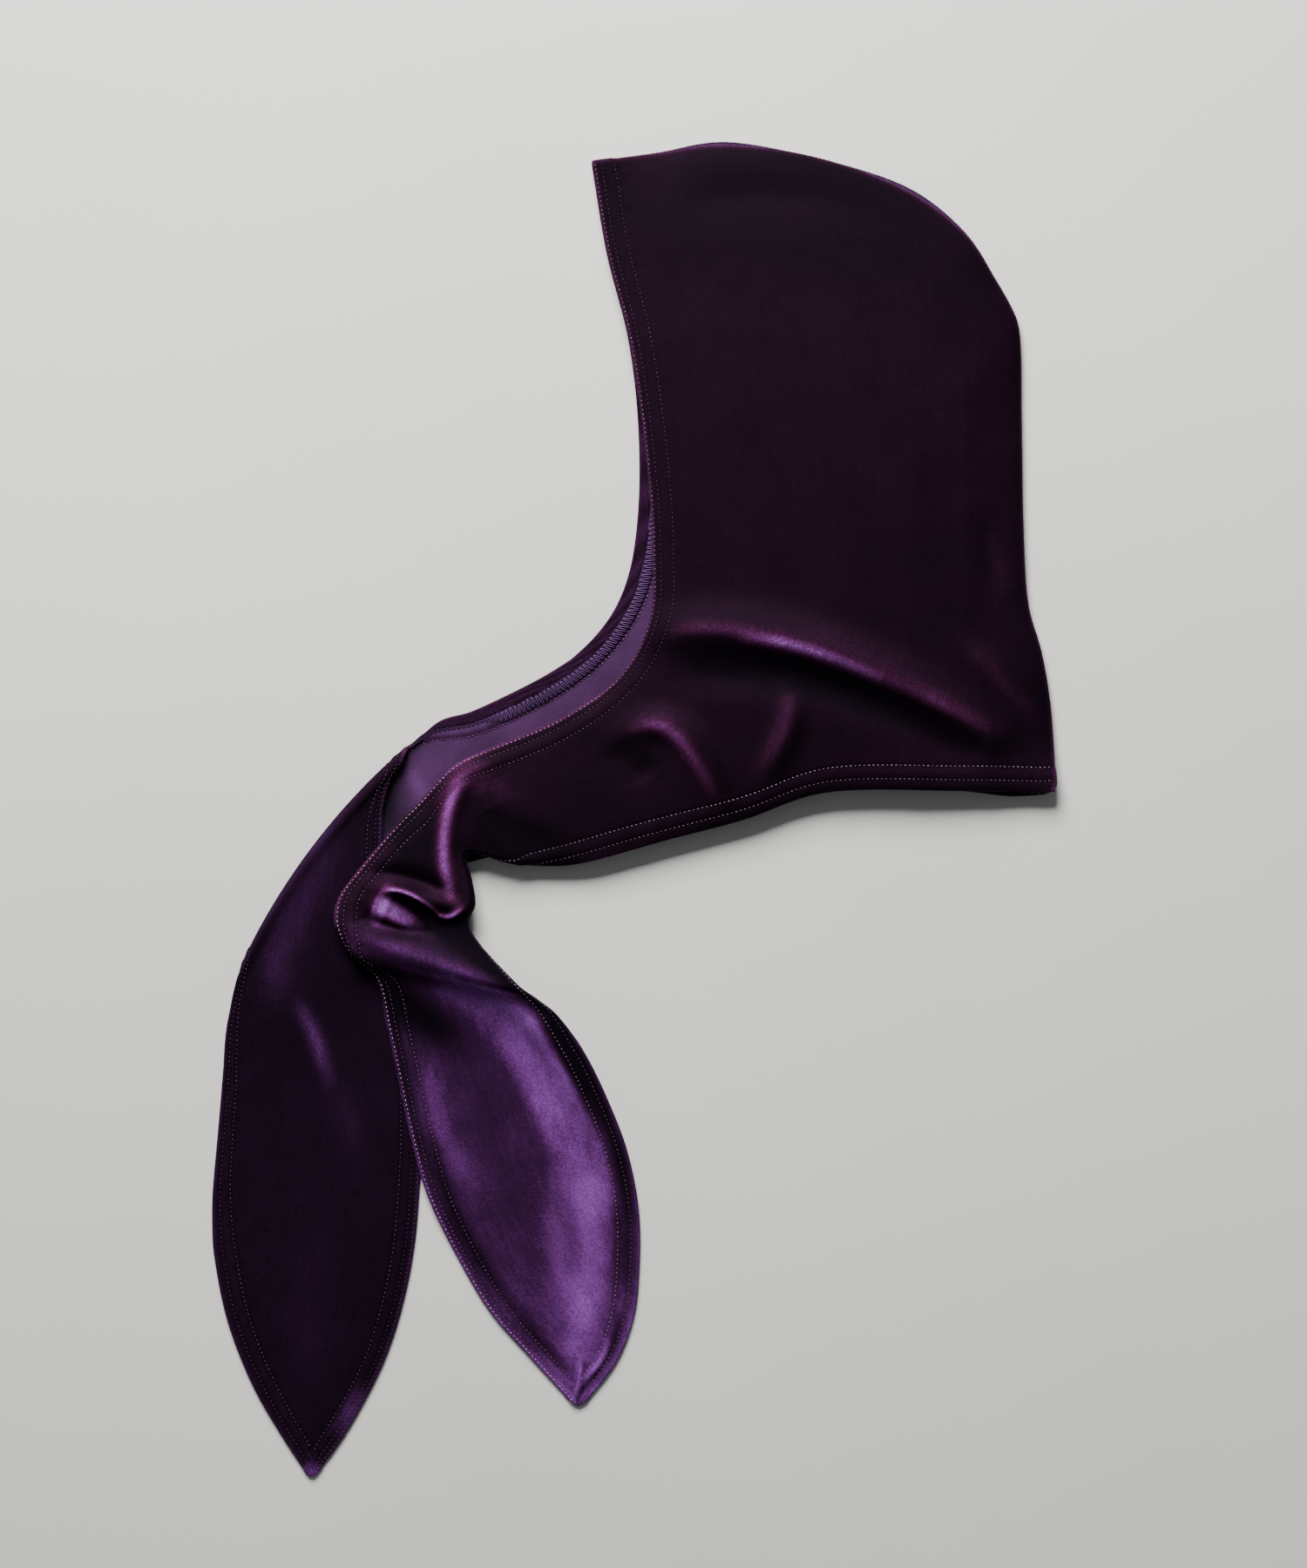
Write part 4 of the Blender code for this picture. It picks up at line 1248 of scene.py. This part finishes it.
class HoodSizes(bpy.types.PropertyGroup):
    """Sizes of the hood's seams, threads and fibres."""
    seam: FloatProperty(name="Seam", description="Thickness of the pressed seam",
                        default=SEAM_THICKNESS * MM, precision=5, unit="LENGTH")
    stitch_pitch: FloatProperty(name="Stitch pitch", description="Distance from stitch to stitch",
                                default=0.0026, precision=5, unit="LENGTH")
    thread: FloatProperty(name="Thread", description="Thickness of the sewing thread",
                          default=0.00050, precision=5, unit="LENGTH")
    overlock_pitch: FloatProperty(name="Overlock pitch", description="Distance from rung to rung",
                                  default=0.0027, precision=5, unit="LENGTH")
    overlock_thread: FloatProperty(name="Overlock thread", description="Thickness of its thread",
                                   default=0.00065, precision=5, unit="LENGTH")
    fringe: FloatProperty(name="Pile fringe", description="Length of the fibres past the edges",
                          default=0.0013, precision=5, unit="LENGTH")
    fringe_fibre: FloatProperty(name="Fibre", description="Thickness of one tuft of fibres",
                                default=0.00014, precision=5, unit="LENGTH")
    fringe_count: IntProperty(name="Fibres", description="Tufts along the edges of one half",
                              default=9000, min=0)


class HoodStage(bpy.types.PropertyGroup):
    """The floor, the camera and the lights."""
    view_height: FloatProperty(name="View", description="Height of floor that shows",
                               default=0.90, unit="LENGTH")
    eye: FloatVectorProperty(name="Camera", description="Place of the camera, straight above",
                             default=(0.011, 0.0147, 2.0), size=3, unit="LENGTH")
    floor: FloatVectorProperty(name="Floor", description="Colour of the floor",
                               default=(0.80, 0.795, 0.775), size=3, subtype="COLOR")
    key: FloatProperty(name="Key light", description="Power of the soft light past the crown",
                       default=126.0, unit="POWER")
    fill: FloatProperty(name="Fill", description="Strength of the even light", default=0.13)


class HOOD_OT_left_half(bpy.types.Operator):
    """Makes the lower half, wrong side up, with its folded tie"""
    bl_idname = "hood.left_half"
    bl_label = "Left half"

    def execute(self, context):
        build_half("left", ("left_side", "left_tie"))
        return {"FINISHED"}


class HOOD_OT_right_half(bpy.types.Operator):
    """Makes the upper half with its crumpled tie"""
    bl_idname = "hood.right_half"
    bl_label = "Right half"

    def execute(self, context):
        build_half("right", ("right_side", "right_tie"))
        return {"FINISHED"}


class HOOD_OT_stitches(bpy.types.Operator):
    """Makes the rows of stitches on both halves"""
    bl_idname = "hood.stitches"
    bl_label = "Stitches"

    def execute(self, context):
        for half in RIBBONS:
            build_stitches(half, context.scene.hood_sizes)
        return {"FINISHED"}


class HOOD_OT_overlock(bpy.types.Operator):
    """Makes the overlock threads of both halves and the centre seam"""
    bl_idname = "hood.overlock"
    bl_label = "Overlock and seam"

    def execute(self, context):
        for half in RIBBONS:
            build_overlock(half, context.scene.hood_sizes)
        build_centre_seam(context.scene.hood_sizes)
        return {"FINISHED"}


class HOOD_OT_pile_fringe(bpy.types.Operator):
    """Makes the fibres of pile along the edges"""
    bl_idname = "hood.pile_fringe"
    bl_label = "Pile fringe"

    def execute(self, context):
        for half in RIBBONS:
            build_pile_fringe(half, context.scene.hood_sizes)
        return {"FINISHED"}


class HOOD_OT_cloth(bpy.types.Operator):
    """Looks up the grids of both halves and does nothing more"""
    bl_idname = "hood.cloth"
    bl_label = "Cloth"

    def execute(self, context):
        declare_cloth("left")
        declare_cloth("right")
        return {"FINISHED"}


class HOOD_OT_stage(bpy.types.Operator):
    """Makes the floor, the lights and the camera straight above"""
    bl_idname = "hood.stage"
    bl_label = "Stage"

    def execute(self, context):
        stage = context.scene.hood_stage
        build_floor(stage.floor)
        add_world(stage.fill)
        add_light("key", KEY_PLACE, KEY_SIZE, stage.key, KEY_COLOUR)
        add_camera(stage.eye, stage.view_height)
        return {"FINISHED"}


STEPS = (HOOD_OT_stage, HOOD_OT_left_half, HOOD_OT_right_half, HOOD_OT_stitches,
         HOOD_OT_overlock, HOOD_OT_pile_fringe, HOOD_OT_cloth)


class HOOD_PT_panel(bpy.types.Panel):
    """Lists the hood's pieces in the order in which they are made"""
    bl_label = "Velvet Hood"
    bl_idname = "HOOD_PT_panel"
    bl_space_type = "VIEW_3D"
    bl_region_type = "UI"
    bl_category = "Velvet Hood"

    def draw(self, context):
        for step in STEPS:
            self.layout.operator(step.bl_idname)
        for group in (context.scene.hood_sizes, context.scene.hood_stage):
            box = self.layout.box()
            for name in group.__annotations__:
                box.prop(group, name)


CLASSES = (HoodSizes, HoodStage, *STEPS, HOOD_PT_panel)


def register():
    for c in CLASSES:
        bpy.utils.register_class(c)
    bpy.types.Scene.hood_sizes = PointerProperty(type=HoodSizes)
    bpy.types.Scene.hood_stage = PointerProperty(type=HoodStage)


def unregister():
    del bpy.types.Scene.hood_stage
    del bpy.types.Scene.hood_sizes
    for c in reversed(CLASSES):
        bpy.utils.unregister_class(c)


def main():
    """Makes the stage and the pieces."""
    register()
    bpy.ops.hood.stage()
    bpy.ops.hood.left_half()
    bpy.ops.hood.right_half()
    bpy.ops.hood.stitches()
    bpy.ops.hood.overlock()
    bpy.ops.hood.pile_fringe()
    bpy.ops.hood.cloth()


if __name__ == "__main__":
    main()
